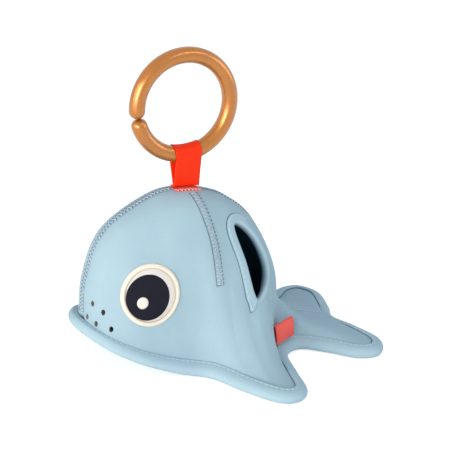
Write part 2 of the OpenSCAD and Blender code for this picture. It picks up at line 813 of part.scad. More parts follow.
left_panel();
right_panel();
belly_panel();
edge_binding();
left_opening_binding();
right_opening_binding();
front_seam_stitching();
back_seam_stitching();
tail_seam_stitching();
left_dart_stitching();
right_dart_stitching();
left_ribbon_stitching();
right_ribbon_stitching();
left_eye_white();
left_eye_rim();
left_pupil();
left_glint();
right_eye_white();
right_eye_rim();
right_pupil();
right_glint();
ribbon_loop();
hanging_ring();
side_tag();
squeaker_base();
squeaker_bellows();
squeaker_cap();
squeaker_reed_tube();
squeaker_reed();
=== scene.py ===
import math

import bmesh
import bpy
import numpy as np
from mathutils import Matrix, Vector, noise


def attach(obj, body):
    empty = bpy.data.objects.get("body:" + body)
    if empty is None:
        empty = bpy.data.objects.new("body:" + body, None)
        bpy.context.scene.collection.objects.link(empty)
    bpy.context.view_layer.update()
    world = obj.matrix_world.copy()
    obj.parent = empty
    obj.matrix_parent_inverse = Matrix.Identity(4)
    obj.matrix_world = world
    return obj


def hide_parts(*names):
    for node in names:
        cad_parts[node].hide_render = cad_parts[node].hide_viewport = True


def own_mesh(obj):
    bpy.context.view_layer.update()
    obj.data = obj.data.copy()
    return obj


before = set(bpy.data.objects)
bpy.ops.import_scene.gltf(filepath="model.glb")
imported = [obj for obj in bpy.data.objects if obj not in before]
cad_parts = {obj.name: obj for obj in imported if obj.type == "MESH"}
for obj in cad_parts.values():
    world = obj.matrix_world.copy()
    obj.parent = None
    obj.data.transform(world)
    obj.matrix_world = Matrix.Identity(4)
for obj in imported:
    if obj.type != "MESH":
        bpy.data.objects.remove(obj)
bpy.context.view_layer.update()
scene = bpy.context.scene
mm = 0.001
print("frame loaded, nodes:", len(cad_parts))

# Whale form, the same sizes in millimetres as the solids
whale = {
    "length": 188.0,
    "crownHeight": 99.0,
    "crownForward": 30.0,
    "headWidth": 79.0,
    "noseLift": 20.0,
    "flatForward": 29.0,
    "chinCurve": 1.5,
    "flipperSpan": 172.0,
    "flipperBack": 4.0,
    "flipperRound": 12.0,
    "stockWidth": 46.0,
    "stockBack": 35.0,
    "flukeSpan": 100.0,
    "flukeRound": 14.0,
    "notchDepth": 11.0,
    "tailHeight": 10.0,
    "neoprene": 3.5,
    "rimTop": 6.0,
    "tape": 1.0,
    "tapeBulge": 0.6,
    "tapeWidth": 5.5,
    "noseFlare": 2.0,  # how much further out the wall meets the tape at the muzzle
    "flareSpan": (1.0, 3.5),  # stations over which that flare ends
    "tailRun": 13.0,  # from the stock to the start of the flukes
}
halfHead = whale["headWidth"] / 2
noseX = -whale["length"] / 2 + whale["tape"] + whale["tapeBulge"]
flukeX = -noseX
notchX = flukeX - whale["notchDepth"]
crownX = -whale["crownForward"]
flatX = -whale["flatForward"]
tailStart = whale["stockBack"] + whale["tailRun"]
tailEnd = notchX - whale["tapeWidth"]
slopeStep = 0.02
sides = (("right", 1), ("left", -1))


def asRow(values):
    return np.atleast_1d(np.asarray(values, float))


def smoothShare(x):
    x = np.clip(x, 0, 1)
    return x * x * (3 - 2 * x)


def chin(x):  # height of the underside
    x = np.asarray(x, float)
    reach = np.clip((flatX - x) / (flatX - noseX), 0, None)
    return whale["noseLift"] * reach ** whale["chinCurve"]


def roundTip(x, y, radius, degrees):
    return [x + radius * math.cos(math.radians(degrees)), y + radius * math.sin(math.radians(degrees))]


def flipperTip(degrees):
    r = whale["flipperRound"]
    return roundTip(whale["flipperBack"], whale["flipperSpan"] / 2 - r, r, degrees)


def flukeTip(degrees):
    r = whale["flukeRound"]
    return roundTip(flukeX - r, whale["flukeSpan"] / 2 - r, r, degrees)


def faceX(share):
    return noseX + (crownX - noseX) * share


def backX(share):
    return crownX + (whale["stockBack"] - crownX) * share


def tailX(share):
    return tailStart + (tailEnd - tailStart) * share


def makeStations():
    crownZ, tailZ = whale["crownHeight"], whale["tailHeight"]
    stock, stockX, flukes = whale["stockWidth"], whale["stockBack"], whale["flukeSpan"]
    flipperX, flipperY = whale["flipperBack"], whale["flipperSpan"] / 2
    noseZ = float(chin(noseX + whale["tapeWidth"])) + whale["rimTop"]
    # middle line x and z, edge x and y, reach of the crest, reach of the wall, slope of the wall
    rows = [
        (noseX + whale["tapeWidth"], noseZ, [noseX, 0], 0, 0, 75),
        (faceX(0.07), whale["noseLift"] + crownZ * 0.273, [faceX(0.144), halfHead * 0.58],
         halfHead * 0.3, 18, 66),
        (faceX(0.23), crownZ * 0.775, [faceX(0.4), halfHead * 0.86], halfHead * 0.44, 40, 76),
        (faceX(0.66), crownZ * 0.965, [faceX(0.753), halfHead], halfHead * 0.66, 42, 74),
        (crownX, crownZ, [crownX + 2, halfHead * 1.14], halfHead * 0.84, 35, 63),
        (backX(0.26), crownZ * 0.97, [flipperX - 20, flipperY - 20], halfHead * 0.80, 42, 19),
        (backX(0.415), crownZ * 0.92, flipperTip(140), halfHead * 0.77, 57, 7),
        (backX(0.554), crownZ * 0.86, flipperTip(85), halfHead * 0.76, 58, 4),
        (backX(0.677), crownZ * 0.78, flipperTip(28), halfHead * 0.75, 55, 3),
        (backX(0.815), crownZ * 0.646, [flipperX + 16, flipperY - 27], halfHead * 0.66, 43, 5),
        (backX(0.954), crownZ * 0.465, [stockX - 8, stock / 2 + 13], stock * 0.32, 21, 10),
        (stockX + 0.5, crownZ * 0.293, [stockX + 7, stock / 2 + 4], stock * 0.22, 10, 20),
        (tailStart, tailZ + 5.5, [stockX + 22, flukes / 2 - 14], stock * 0.2, 10, 20),
        (tailX(0.35), tailZ + 2.5, flukeTip(125), flukes * 0.12, 14, 12),
        (tailX(0.58), tailZ + 1, flukeTip(65), flukes * 0.12, 14, 10),
        (tailX(0.78), tailZ, flukeTip(0), flukes * 0.1, 12, 10),
        (tailX(0.92), tailZ - 1, [notchX + whale["notchDepth"] * 0.55, flukes * 0.16], flukes * 0.05, 6, 10),
        (tailEnd, whale["rimTop"], [notchX, 0], 0, 0, 12),
    ]
    return np.array([[x, z, at[0], at[1], reach, rise, slope] for x, z, at, reach, rise, slope in rows])


stations = makeStations()
lastStation = len(stations) - 1
mirrorRow = np.array([1, 1, 1, -1, 1, 1, 1.0])
padded = np.vstack([stations[1] * mirrorRow, stations, stations[-2] * mirrorRow])


def loft(s):  # smooth curve through the stations
    s = asRow(s)
    i = np.clip(np.floor(s).astype(int), 0, lastStation - 1)
    u = (s - i)[:, None]
    a, b, c, d = (padded[i + k] for k in range(4))
    return (b + (c - a) * u / 2 + (2 * a - 5 * b + 4 * c - d) * u ** 2 / 2
            + (3 * b - a - 3 * c + d) * u ** 3 / 2)


def edgeAt(s):  # bound edge in plan
    s = asRow(s)
    beyond = (s < 0) | (s > lastStation)
    r = loft(np.where(s < 0, -s, np.where(s > lastStation, 2 * lastStation - s, s)))
    return np.column_stack([r[:, 2], np.where(beyond, -r[:, 3], r[:, 3])])


def outward(s):
    d = edgeAt(asRow(s) + slopeStep) - edgeAt(asRow(s) - slopeStep)
    return np.column_stack([-d[:, 1], d[:, 0]]) / np.linalg.norm(d, axis=1)[:, None]


def rimInset(s):  # from the bound edge in to the wall
    start, end = whale["flareSpan"]
    return whale["tapeWidth"] - whale["noseFlare"] * (1 - smoothShare((asRow(s) - start) / (end - start)))


def foot(s):  # where the wall turns out into the bound edge
    e = edgeAt(s) - rimInset(s)[:, None] * outward(s)
    return np.column_stack([e, chin(e[:, 0]) + whale["rimTop"]])


def wallRise(s):  # direction in which the wall leaves its foot
    r, wall = loft(s), foot(s)
    toCrest = np.column_stack([r[:, 0] - wall[:, 0], -wall[:, 1]])
    toCrest = toCrest / np.maximum(0.01, np.linalg.norm(toCrest, axis=1))[:, None]
    slope = np.radians(r[:, 6])
    return np.column_stack([toCrest * np.cos(slope)[:, None], np.sin(slope)])


def skin(s, v):  # outer face on the +Y side, v from crest to foot
    s, v = np.broadcast_arrays(asRow(s), asRow(v))
    side = np.where(v < 0, -1.0, 1.0)
    v = np.abs(v)[:, None]
    r = loft(s)
    crest = np.column_stack([r[:, 0], np.zeros(len(s)), r[:, 1]])
    wall = foot(s)
    b = crest + r[:, 4:5] * np.array([0, 1.0, 0])
    c = wall + r[:, 5:6] * wallRise(s)
    p = crest * (1 - v) ** 3 + 3 * b * v * (1 - v) ** 2 + 3 * c * v * v * (1 - v) + wall * v ** 3
    p[:, 1] *= side
    return p


def unitRows(p):
    return p / np.maximum(1e-9, np.linalg.norm(p, axis=1))[:, None]


def skinNormal(s, v):
    s, v = np.broadcast_arrays(asRow(s), asRow(v))
    s = np.clip(s, 0.03, lastStation - 0.03)
    along = skin(s + slopeStep, v) - skin(s - slopeStep, v)
    down = skin(s, np.minimum(1, v + slopeStep)) - skin(s, v - slopeStep)
    return unitRows(np.cross(along, down))


def over(s, v, h):  # places at a height above the outer face
    return skin(s, v) + np.reshape(h, (-1, 1)) * skinNormal(s, v)


def skinSlopes(s, v):  # change of place along and down the outer face
    ds = (skin(s + slopeStep, v) - skin(s - slopeStep, v)) / (2 * slopeStep)
    dv = (skin(s, v + slopeStep) - skin(s, v - slopeStep)) / (2 * slopeStep)
    return ds, dv


def mirrored(points, side):  # side 1 is the toy's right, -1 its left
    return np.asarray(points) * np.array([1, side, 1.0])


# Shared helpers for pieces
def addPiece(name, mesh, finishNames, nodes, body="shell"):
    piece = bpy.data.objects.new(name, mesh)
    scene.collection.objects.link(piece)
    mesh.materials.clear()
    for finish in finishNames:
        mesh.materials.append(finishes[finish])
    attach(piece, body)
    if nodes:
        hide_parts(*nodes)
    return piece


def meshFrom(bm, name, sharpDegrees=45):
    mesh = bpy.data.meshes.new(name)
    bm.to_mesh(mesh)
    bm.free()
    mesh.shade_smooth()
    mesh.set_sharp_from_angle(angle=math.radians(sharpDegrees))
    return mesh


def gridMesh(across, down):  # plain grid and the share of each vertex along both ways
    bm = bmesh.new()
    bmesh.ops.create_grid(bm, x_segments=across, y_segments=down, size=1.0)
    bm.verts.ensure_lookup_table()
    co = np.array([v.co[:2] for v in bm.verts])
    return bm, (co - co.min(0)) / (co.max(0) - co.min(0))


def gridIndex(shares, across, down):  # whole column and row of each vertex
    return [np.rint(shares[:, k] * count).astype(int) for k, count in enumerate((across, down))]


def setPoints(bm, points):
    for v, p in zip(bm.verts, points):
        v.co = Vector(p) * mm


def setUv(bm, shares, size=(1, 1)):  # uv in millimetres, kept apart at the joint of a closed grid
    layer = bm.loops.layers.uv.new("weave")
    for v, share in zip(bm.verts, shares):
        for loop in v.link_loops:
            loop[layer].uv = (share[0] * size[0], share[1] * size[1])


def closeUp(bm):
    bmesh.ops.remove_doubles(bm, verts=bm.verts, dist=1e-6)
    bmesh.ops.recalc_face_normals(bm, faces=bm.faces)


def evaluatedMesh(holder):  # mesh with the modifiers, or a curve's bevel, worked in
    graph = bpy.context.evaluated_depsgraph_get()
    graph.update()
    return bpy.data.meshes.new_from_object(holder.evaluated_get(graph))


def applied(piece):
    mesh, old = evaluatedMesh(piece), piece.data
    piece.modifiers.clear()
    piece.data = mesh
    bpy.data.meshes.remove(old)


def thicken(piece, thickness, offset, lined=False):  # sheet to a wall, its lining in the second finish
    wall = piece.modifiers.new("wall", "SOLIDIFY")
    wall.thickness = thickness * mm
    wall.offset = offset
    wall.material_offset = int(lined)
    applied(piece)


def soften(piece):
    smooth = piece.modifiers.new("smooth", "SUBSURF")
    smooth.levels = smooth.render_levels = 1


def threadMesh(name, runs, radius):  # round threads along several runs of points
    curve = bpy.data.curves.new(name, "CURVE")
    curve.dimensions = "3D"
    curve.bevel_depth = radius * mm
    curve.bevel_resolution = 1
    curve.use_fill_caps = True
    for run in runs:
        spline = curve.splines.new("POLY")
        spline.points.add(len(run) - 1)
        flat = np.column_stack([np.asarray(run) * mm, np.ones(len(run))])
        spline.points.foreach_set("co", flat.astype(np.float32).ravel())
    holder = bpy.data.objects.new(name, curve)
    scene.collection.objects.link(holder)
    mesh = evaluatedMesh(holder)
    bpy.data.objects.remove(holder)
    bpy.data.curves.remove(curve)
    mesh.shade_smooth()
    return mesh


def addThread(name, runs, radius, finish, nodes=()):
    addPiece(name, threadMesh(name, runs, radius), [finish], nodes)


def arcLength(points):  # length along a path up to each of its points
    return np.concatenate([[0], np.cumsum(np.linalg.norm(np.diff(points, axis=0), axis=1))])


def pointsAt(at, arc, points):  # places on a path at given lengths
    return np.column_stack([np.interp(at, arc, column) for column in np.transpose(points)])


def resample(points, step):  # even points along a path
    arc = arcLength(points)
    count = max(2, int(round(arc[-1] / step)) + 1)
    return pointsAt(np.linspace(0, arc[-1], count), arc, points)


def zigzagRun(path, width, pitch, lift, sink):  # path is places (s, v) on the outer face
    fine = np.vstack([np.column_stack([np.linspace(a[0], b[0], 24), np.linspace(a[1], b[1], 24)])
                      for a, b in zip(path[:-1], path[1:])])
    arc = arcLength(skin(fine[:, 0], fine[:, 1]))
    perLeg = 4
    legs = max(2, int(round(2 * arc[-1] / pitch)))
    s, v = pointsAt(np.linspace(0, arc[-1], legs * perLeg + 1), arc, fine).T
    middle, out = skin(s, v), skinNormal(s, v)
    side = unitRows(np.cross(out, unitRows(np.gradient(middle, axis=0))))
    turn = np.arange(len(s)) / perLeg
    swing = 1 - 2 * np.abs(turn % 2 - 1)  # from one side to the other and back
    height = sink + (lift - sink) * np.abs(np.sin(np.pi * turn)) ** 0.6
    return middle + (swing * width / 2)[:, None] * side + height[:, None] * out, middle, side, out


def dashRuns(points, out, length, gap, lift, sink):  # short stitches along a line
    arc = arcLength(points)
    count = max(1, int(arc[-1] / (length + gap)))
    pitch = arc[-1] / count
    heights = np.array([[sink], [lift * 0.8], [lift], [lift * 0.8], [sink]])
    runs = []
    for k in range(count):
        at = k * pitch + gap / 2 + (pitch - gap) * np.array([0, 0.2, 0.5, 0.8, 1])
        runs.append(pointsAt(at, arc, points) + heights * unitRows(pointsAt(at, arc, out)))
    return runs


# Materials
def newGroup(name, values):  # an effect: its place and sizes go in, a height and a shade come out
    group = bpy.data.node_groups.new(name, "ShaderNodeTree")
    group.interface.new_socket("Vector", in_out="INPUT", socket_type="NodeSocketVector")
    for label, value in values.items():
        socket = group.interface.new_socket(label, in_out="INPUT", socket_type="NodeSocketFloat")
        socket.default_value = value
    for label in ("Height", "Shade"):
        group.interface.new_socket(label, in_out="OUTPUT", socket_type="NodeSocketFloat")
    return group, group.nodes.new("NodeGroupInput"), group.nodes.new("NodeGroupOutput")


def addNode(tree, kind, settings=(), **values):
    node = tree.nodes.new(kind)
    for key, value in dict(settings).items():
        setattr(node, key, value)
    for key, value in values.items():
        node.inputs[key].default_value = value
    return node


def mathNode(tree, operation, a, b):
    node = tree.nodes.new("ShaderNodeMath")
    node.operation = operation
    for socket, value in zip(node.inputs, (a, b)):
        if isinstance(value, (int, float)):
            socket.default_value = value
        else:
            tree.links.new(value, socket)
    return node.outputs[0]


def mixNode(tree, factor, a, b):  # blend of two colours, each a tone or a socket
    node = tree.nodes.new("ShaderNodeMix")
    node.data_type = "RGBA"
    tree.links.new(factor, node.inputs["Factor"])
    for label, value in (("A", a), ("B", b)):
        if isinstance(value, tuple):
            node.inputs[label].default_value = (*value, 1)
        else:
            tree.links.new(value, node.inputs[label])
    return node.outputs["Result"]


def evenShade(tree, *patterns):  # two patterns with their weights, about a middle of 0.5
    parts = [mathNode(tree, "MULTIPLY", mathNode(tree, "SUBTRACT", pattern, 0.5), weight)
             for pattern, weight in patterns]
    return mathNode(tree, "ADD", mathNode(tree, "ADD", *parts), 0.5)


def makeKnitGrain():  # fine jersey face: small loops over slow unevenness
    group, start, end = newGroup("knitGrain", {"Loops": 1400.0, "Mottle": 70.0})
    loops = addNode(group, "ShaderNodeTexVoronoi", {"feature": "F1"}, Randomness=0.6)
    fuzz = addNode(group, "ShaderNodeTexNoise", Detail=3.0, Roughness=0.6)
    mottle = addNode(group, "ShaderNodeTexNoise", Detail=2.0, Roughness=0.5)
    for node, label in ((loops, "Loops"), (fuzz, "Loops"), (mottle, "Mottle")):
        group.links.new(start.outputs["Vector"], node.inputs["Vector"])
        group.links.new(start.outputs[label], node.inputs["Scale"])
    height = mathNode(group, "SUBTRACT", fuzz.outputs[0], loops.outputs["Distance"])
    group.links.new(height, end.inputs["Height"])
    shade = evenShade(group, (mottle.outputs[0], 0.9), (fuzz.outputs[0], 0.5))
    group.links.new(shade, end.inputs["Shade"])
    return group


def makeThreadRows():  # rows of laid thread on a uv map in millimetres
    group, start, end = newGroup("threadRows", {"Rows": 0.8, "Unevenness": 1.2})
    bands = {"wave_type": "BANDS", "bands_direction": "X", "wave_profile": "SIN"}
    rows = addNode(group, "ShaderNodeTexWave", bands, **{"Detail": 1.0, "Detail Scale": 0.6})
    tone = addNode(group, "ShaderNodeTexNoise", Scale=1.3, Detail=2.0)
    for node in (rows, tone):
        group.links.new(start.outputs["Vector"], node.inputs["Vector"])
    group.links.new(start.outputs["Rows"], rows.inputs["Scale"])
    group.links.new(start.outputs["Unevenness"], rows.inputs["Distortion"])
    group.links.new(rows.outputs[1], end.inputs["Height"])
    shade = evenShade(group, (rows.outputs[1], 0.5), (tone.outputs[0], 0.5))
    group.links.new(shade, end.inputs["Shade"])
    return group


knitGrain = makeKnitGrain()
threadRows = makeThreadRows()


def knit(loops, mottle):  # fabric grain in the object's own space
    return knitGrain, "Object", {"Loops": loops, "Mottle": mottle}


def laidRows(rows, unevenness):  # laid thread along the uv map
    return threadRows, "UV", {"Rows": rows, "Unevenness": unevenness}


def makeMaterial(name, dark, light, roughness, bump, effect, specular, fade=None, roughSpread=0.08,
                 **shaderValues):
    grain, space, values = effect
    material = bpy.data.materials.new(name)
    material.use_nodes = True
    tree = material.node_tree
    shader = tree.nodes["Principled BSDF"]
    place = tree.nodes.new("ShaderNodeTexCoord")
    pattern = addNode(tree, "ShaderNodeGroup", {"node_tree": grain}, **values)
    tree.links.new(place.outputs[space], pattern.inputs["Vector"])
    shade = pattern.outputs["Shade"]
    colour = mixNode(tree, shade, dark, light)
    if fade:  # towards another colour across the uv map's second way, which paints shade along an edge
        apart = tree.nodes.new("ShaderNodeSeparateXYZ")
        tree.links.new(place.outputs["UV"], apart.inputs[0])
        limits = {"From Min": fade[0], "From Max": fade[1]}
        share = addNode(tree, "ShaderNodeMapRange", {"interpolation_type": "SMOOTHSTEP"}, **limits)
        tree.links.new(apart.outputs["Y"], share.inputs["Value"])
        colour = mixNode(tree, share.outputs["Result"], colour, fade[2])
    tree.links.new(colour, shader.inputs["Base Color"])
    limits = {"To Min": roughness + roughSpread, "To Max": roughness - roughSpread}
    spread = addNode(tree, "ShaderNodeMapRange", **limits)
    tree.links.new(shade, spread.inputs["Value"])
    tree.links.new(spread.outputs["Result"], shader.inputs["Roughness"])
    relief = addNode(tree, "ShaderNodeBump", Strength=bump[0], Distance=bump[1] * mm)
    tree.links.new(pattern.outputs["Height"], relief.inputs["Height"])
    tree.links.new(relief.outputs["Normal"], shader.inputs["Normal"])
    shader.inputs["Specular IOR Level"].default_value = specular
    for label, value in shaderValues.items():
        shader.inputs[label].default_value = value
    return material


# Finishes: dark and light tone, roughness, bump with its depth in millimetres, effect and specular level
liningTone = ((0.012, 0.058, 0.096), (0.020, 0.086, 0.138))
tapeTone = ((0.368, 0.530, 0.615), (0.450, 0.618, 0.698))
looks = {
    "neopreneFace": ((0.335, 0.485, 0.57), (0.405, 0.565, 0.645), 0.8, (0.45, 0.14), knit(1300.0, 60.0), 0.2),
    "neopreneLining": (*liningTone, 0.9, (0.4, 0.12), knit(1200.0, 90.0), 0.15),
    "ventWall": ((0.30, 0.275, 0.22), (0.44, 0.40, 0.32), 0.9, (0.3, 0.1), knit(1800.0, 200.0), 0.15),
    "bindingTape": (*tapeTone, 0.75, (0.4, 0.12), laidRows(0.5, 0.8), 0.25),
    "openingTape": (*tapeTone, 0.75, (0.4, 0.12), laidRows(0.5, 0.8), 0.25),
    "seamThread": ((0.43, 0.54, 0.62), (0.60, 0.70, 0.77), 0.6, (0.3, 0.08), knit(3200.0, 160.0), 0.3),
    # painted shade: dark dashes and lines for needle holes and a dart's fold groove
    "paintedSeamShade": ((0.10, 0.15, 0.20), (0.20, 0.28, 0.35), 0.7, (0.3, 0.08), knit(3200.0, 160.0), 0.2),
    "tapeThread": ((0.50, 0.67, 0.75), (0.66, 0.81, 0.87), 0.65, (0.3, 0.08), knit(3200.0, 160.0), 0.25),
    # painted shade: dark lines in the gaps beside the tapes
    "paintedGapShade": ((0.13, 0.21, 0.28), (0.20, 0.30, 0.38), 0.8, (0.3, 0.08), knit(2600.0, 120.0), 0.15),
    "ribbonThread": ((0.84, 0.34, 0.28), (0.95, 0.70, 0.64), 0.5, (0.3, 0.08), knit(3200.0, 400.0), 0.35),
    "eyeWhiteFill": ((0.665, 0.64, 0.61), (0.83, 0.81, 0.775), 0.55, (0.6, 0.14), laidRows(0.75, 1.5), 0.3),
    "creamSatin": ((0.80, 0.72, 0.57), (0.96, 0.91, 0.80), 0.45, (0.5, 0.12), laidRows(0.8, 1.0), 0.35),
    "glintSatin": ((0.76, 0.69, 0.57), (0.97, 0.94, 0.88), 0.45, (0.6, 0.14), laidRows(0.55, 3.0), 0.35),
    "pupilFill": ((0.003, 0.003, 0.007), (0.013, 0.014, 0.027), 0.55, (0.7, 0.16), laidRows(0.6, 2.2), 0.12),
    "ribbonSatin": ((0.88, 0.022, 0.002), (0.95, 0.042, 0.005), 0.42, (0.2, 0.05), laidRows(0.9, 0.5), 0.15),
    "tagSatin": ((0.94, 0.085, 0.062), (1.0, 0.140, 0.108), 0.45, (0.2, 0.05), laidRows(0.9, 0.5), 0.25),
    "goldPlastic": ((0.385, 0.130, 0.010), (0.51, 0.180, 0.018), 0.28, (0.06, 0.15), knit(420.0, 45.0), 0.5),
    "squeakerPlastic": ((0.74, 0.74, 0.71), (0.84, 0.84, 0.82), 0.5, (0.08, 0.1), knit(700.0, 90.0), 0.5),
    "bellowsPlastic": ((0.70, 0.71, 0.69), (0.82, 0.83, 0.81), 0.45, (0.08, 0.1), knit(500.0, 70.0), 0.5),
    "reedBrass": ((0.55, 0.38, 0.14), (0.72, 0.54, 0.24), 0.35, (0.1, 0.05), knit(2400.0, 300.0), 0.5),
}
moreValues = {
    "neopreneFace": {"Sheen Weight": 0.06, "Sheen Roughness": 0.5},
    "bindingTape": {"Sheen Weight": 0.06},
    # painted shade: the opening tape darkens to the lining's tone where it rolls into the opening
    "openingTape": {"fade": (8.6, 13.2, liningTone[1]), "Sheen Weight": 0.06},
    # painted shade: the eye rim darkens to beige at its inner edge, where it meets the white
    "creamSatin": {"fade": (15.3, 14.7, (0.60, 0.47, 0.31))},
    "goldPlastic": {"roughSpread": 0.05, "Metallic": 0.55, "Coat Weight": 0.8, "Coat Roughness": 0.15},
    "reedBrass": {"Metallic": 1.0},
}
finishes = {name: makeMaterial(name, *look, **moreValues.get(name, {})) for name, look in looks.items()}
print("materials made:", len(finishes))

# Side openings, as a leaning drop on the outer face
opening = {
    "middle": (7.38, 0.39),
    "half": (1.25, 0.18),
    "slant": 0.1,
    "taper": 0.35,
    "hook": 0.55,
    "lead": 0.55,  # how far the upper front corner is drawn forward
    "tapeWidth": 4.5,
    "rearWidth": 1.2,  # behind, the tape rolls in and hardly shows
    "frontTurn": 190.0,
    "tailWidth": 7.0,  # extra width of the tape where its two sides meet below
    "tailTurn": 95.0,
    "tailSpread": 10.0,
    "tailFront": 5.0,
    "roll": 1.5,
    "turns": 168,
    "tapeSize": (130, 22),  # round the opening and round the tape's section
    "stitch": (2.1, 0.7, 0.18, -0.1),  # length, gap, lift and sink
    "stitchShare": 0.8,  # of the tape's width
    "sewnFrom": 0.6,  # stitches only where the tape shows at least this much
    "stitchHeight": 0.88,
    "lineOut": 0.2,  # painted shadow of the tape's edge, as a dark line beside the tape
    "lineHeight": 0.04,
    "threadRadius": 0.2,
}


def openingLine(down):  # middle and half length of the opening at a height, -1 at its top and 1 at its foot
    lead = opening["lead"] * smoothShare((0.3 - down) / 1.3)
    middle = opening["middle"][0] + (opening["slant"] - opening["hook"] * down) * down - lead / 2
    return middle, opening["half"][0] * np.maximum(0.2, 1 - opening["taper"] * down) + lead / 2


def openingPlace(degrees):
    across, down = np.cos(np.radians(degrees)), np.sin(np.radians(degrees))
    middle, half = openingLine(down)
    return middle + half * across, opening["middle"][1] + opening["half"][1] * down


def openingShare(s, v):  # below 1 inside the opening, with the direction in degrees
    down = (v - opening["middle"][1]) / opening["half"][1]
    middle, half = openingLine(down)
    across = (s - middle) / half
    return np.hypot(across, down), np.degrees(np.arctan2(down, across))


# Upper body: one neoprene panel on each side
panel = {
    "rowsAlong": 221,
    "rowsDown": 66,
    "brim": 0.06,  # share past the foot that lies under the binding
    "brimWidth": 4.2,
    "brimDrop": 0.4,
    "seamDip": 0.45,
    "seamWidth": 1.3,
    "swell": 0.22,
    "swellSize": 26.0,
    "cutReach": 1.4,  # how far round the opening the ragged cut is drawn onto its edge
}
vent = {
    "places": [(0.84, 0.46), (1.1, 0.7), (0.44, 0.559), (0.7, 0.84), (1.23, 0.891)],
    "radius": 1.25,
    "tall": 1.35,
    "depth": 14.0,
    "sides": 20,
    "wallReach": 6.0,  # from a vent's middle along its wall
}


def panelPoints(shares):
    s, v = shares[:, 0] * lastStation, shares[:, 1] * (1 + panel["brim"])
    inside = np.minimum(v, 1)
    p = skin(s, inside)
    out = skinNormal(s, inside)
    swell = np.array([noise.noise(Vector(q) / panel["swellSize"]) for q in p]) * panel["swell"]
    dip = panel["seamDip"] * np.exp(-(p[:, 1] / panel["seamWidth"]) ** 2)
    fade = np.clip((1 - inside) * 8, 0, 1) * np.clip(np.minimum(s, lastStation - s) * 3, 0, 1)
    p = p + ((swell - dip) * fade)[:, None] * out
    past = np.clip((v - 1) / panel["brim"], 0, 1)[:, None]
    flat = np.column_stack([outward(s), np.zeros(len(s))])
    footHeight = chin(p[:, 0])
    p = p + past * (panel["brimWidth"] * rimInset(s) / whale["tapeWidth"])[:, None] * flat
    p[:, 2] += np.where(v > 1, chin(p[:, 0]) - footHeight, 0) - panel["brimDrop"] * past[:, 0]
    return p, s, v


def makePanel(name, side, node):
    bm, shares = gridMesh(panel["rowsAlong"], panel["rowsDown"])
    points, s, v = panelPoints(shares)
    keepS, keepV = bm.verts.layers.float.new("s"), bm.verts.layers.float.new("v")
    for vert, a, b in zip(bm.verts, s, v):
        vert[keepS], vert[keepV] = a, b
    setPoints(bm, mirrored(points, side))
    inHole = []
    for face in bm.faces:
        a = np.mean([vert[keepS] for vert in face.verts])
        b = np.mean([vert[keepV] for vert in face.verts])
        if openingShare(a, b)[0] < 1:
            inHole.append(face)
    bmesh.ops.delete(bm, geom=inHole, context="FACES")
    for vert in [vert for vert in bm.verts if vert.is_boundary]:  # draw the ragged cut onto the edge
        share, degrees = openingShare(vert[keepS], vert[keepV])
        if share < panel["cutReach"]:
            vert.co = Vector(mirrored(skin(*openingPlace(degrees)), side)[0]) * mm
    bmesh.ops.remove_doubles(bm, verts=bm.verts, dist=2e-5)
    sample = max(bm.faces, key=lambda f: f.calc_center_median().z)
    if sample.normal.z < 0:
        bmesh.ops.reverse_faces(bm, faces=bm.faces)
    layers = ["neopreneFace", "neopreneLining", "ventWall"]
    piece = addPiece(name, meshFrom(bm, name), layers, [node])
    thicken(piece, whale["neoprene"], -1, lined=True)
    cutVents(piece, side)


def cutVents(piece, side):
    bm = bmesh.new()
    axes = []
    radius = vent["radius"] * mm
    stretch = Matrix.Diagonal((1, vent["tall"], 1, 1))
    for place in vent["places"]:
        at = Vector(mirrored(skin(*place), side)[0]) * mm
        out = Vector(mirrored(skinNormal(*place), side)[0])
        turn = out.to_track_quat("Z", "Y").to_matrix().to_4x4()
        bmesh.ops.create_cone(bm, cap_ends=True, segments=vent["sides"], radius1=radius, radius2=radius,
                              depth=vent["depth"] * mm, matrix=Matrix.Translation(at) @ turn @ stretch)
        axes.append((at, out))
    cutter = bpy.data.objects.new("ventCutter", meshFrom(bm, "ventCutter"))
    scene.collection.objects.link(cutter)
    cut = piece.modifiers.new("vents", "BOOLEAN")
    cut.operation = "DIFFERENCE"
    cut.solver = "EXACT"
    cut.object = cutter
    applied(piece)
    bpy.data.objects.remove(cutter)
    for face in piece.data.polygons:
        for at, out in axes:
            gap = face.center - at
            if gap.length < vent["wallReach"] * mm and abs(face.normal.dot(out)) < 0.3:
                if (gap - gap.dot(out) * out).length < radius * vent["tall"] * 1.1:
                    face.material_index = 2
    piece.data.shade_smooth()
    piece.data.set_sharp_from_angle(angle=math.radians(40))


for label, side in sides:
    makePanel(label + "Panel", side, label + "_panel")
print("panels made")

# Belly: flat sheet with its edge pinched under the binding
belly = {
    "rowsAlong": 136,
    "rowsAcross": 40,
    "thickness": 2.4,
    "edgeRise": 0.9,
    "edgeWidth": 7.5,
    "inset": 0.8,
    "tip": 0.5,  # stations over which both ends close to a point
    "clear": 0.05,  # above the ground
    "size": (170, 120),
}


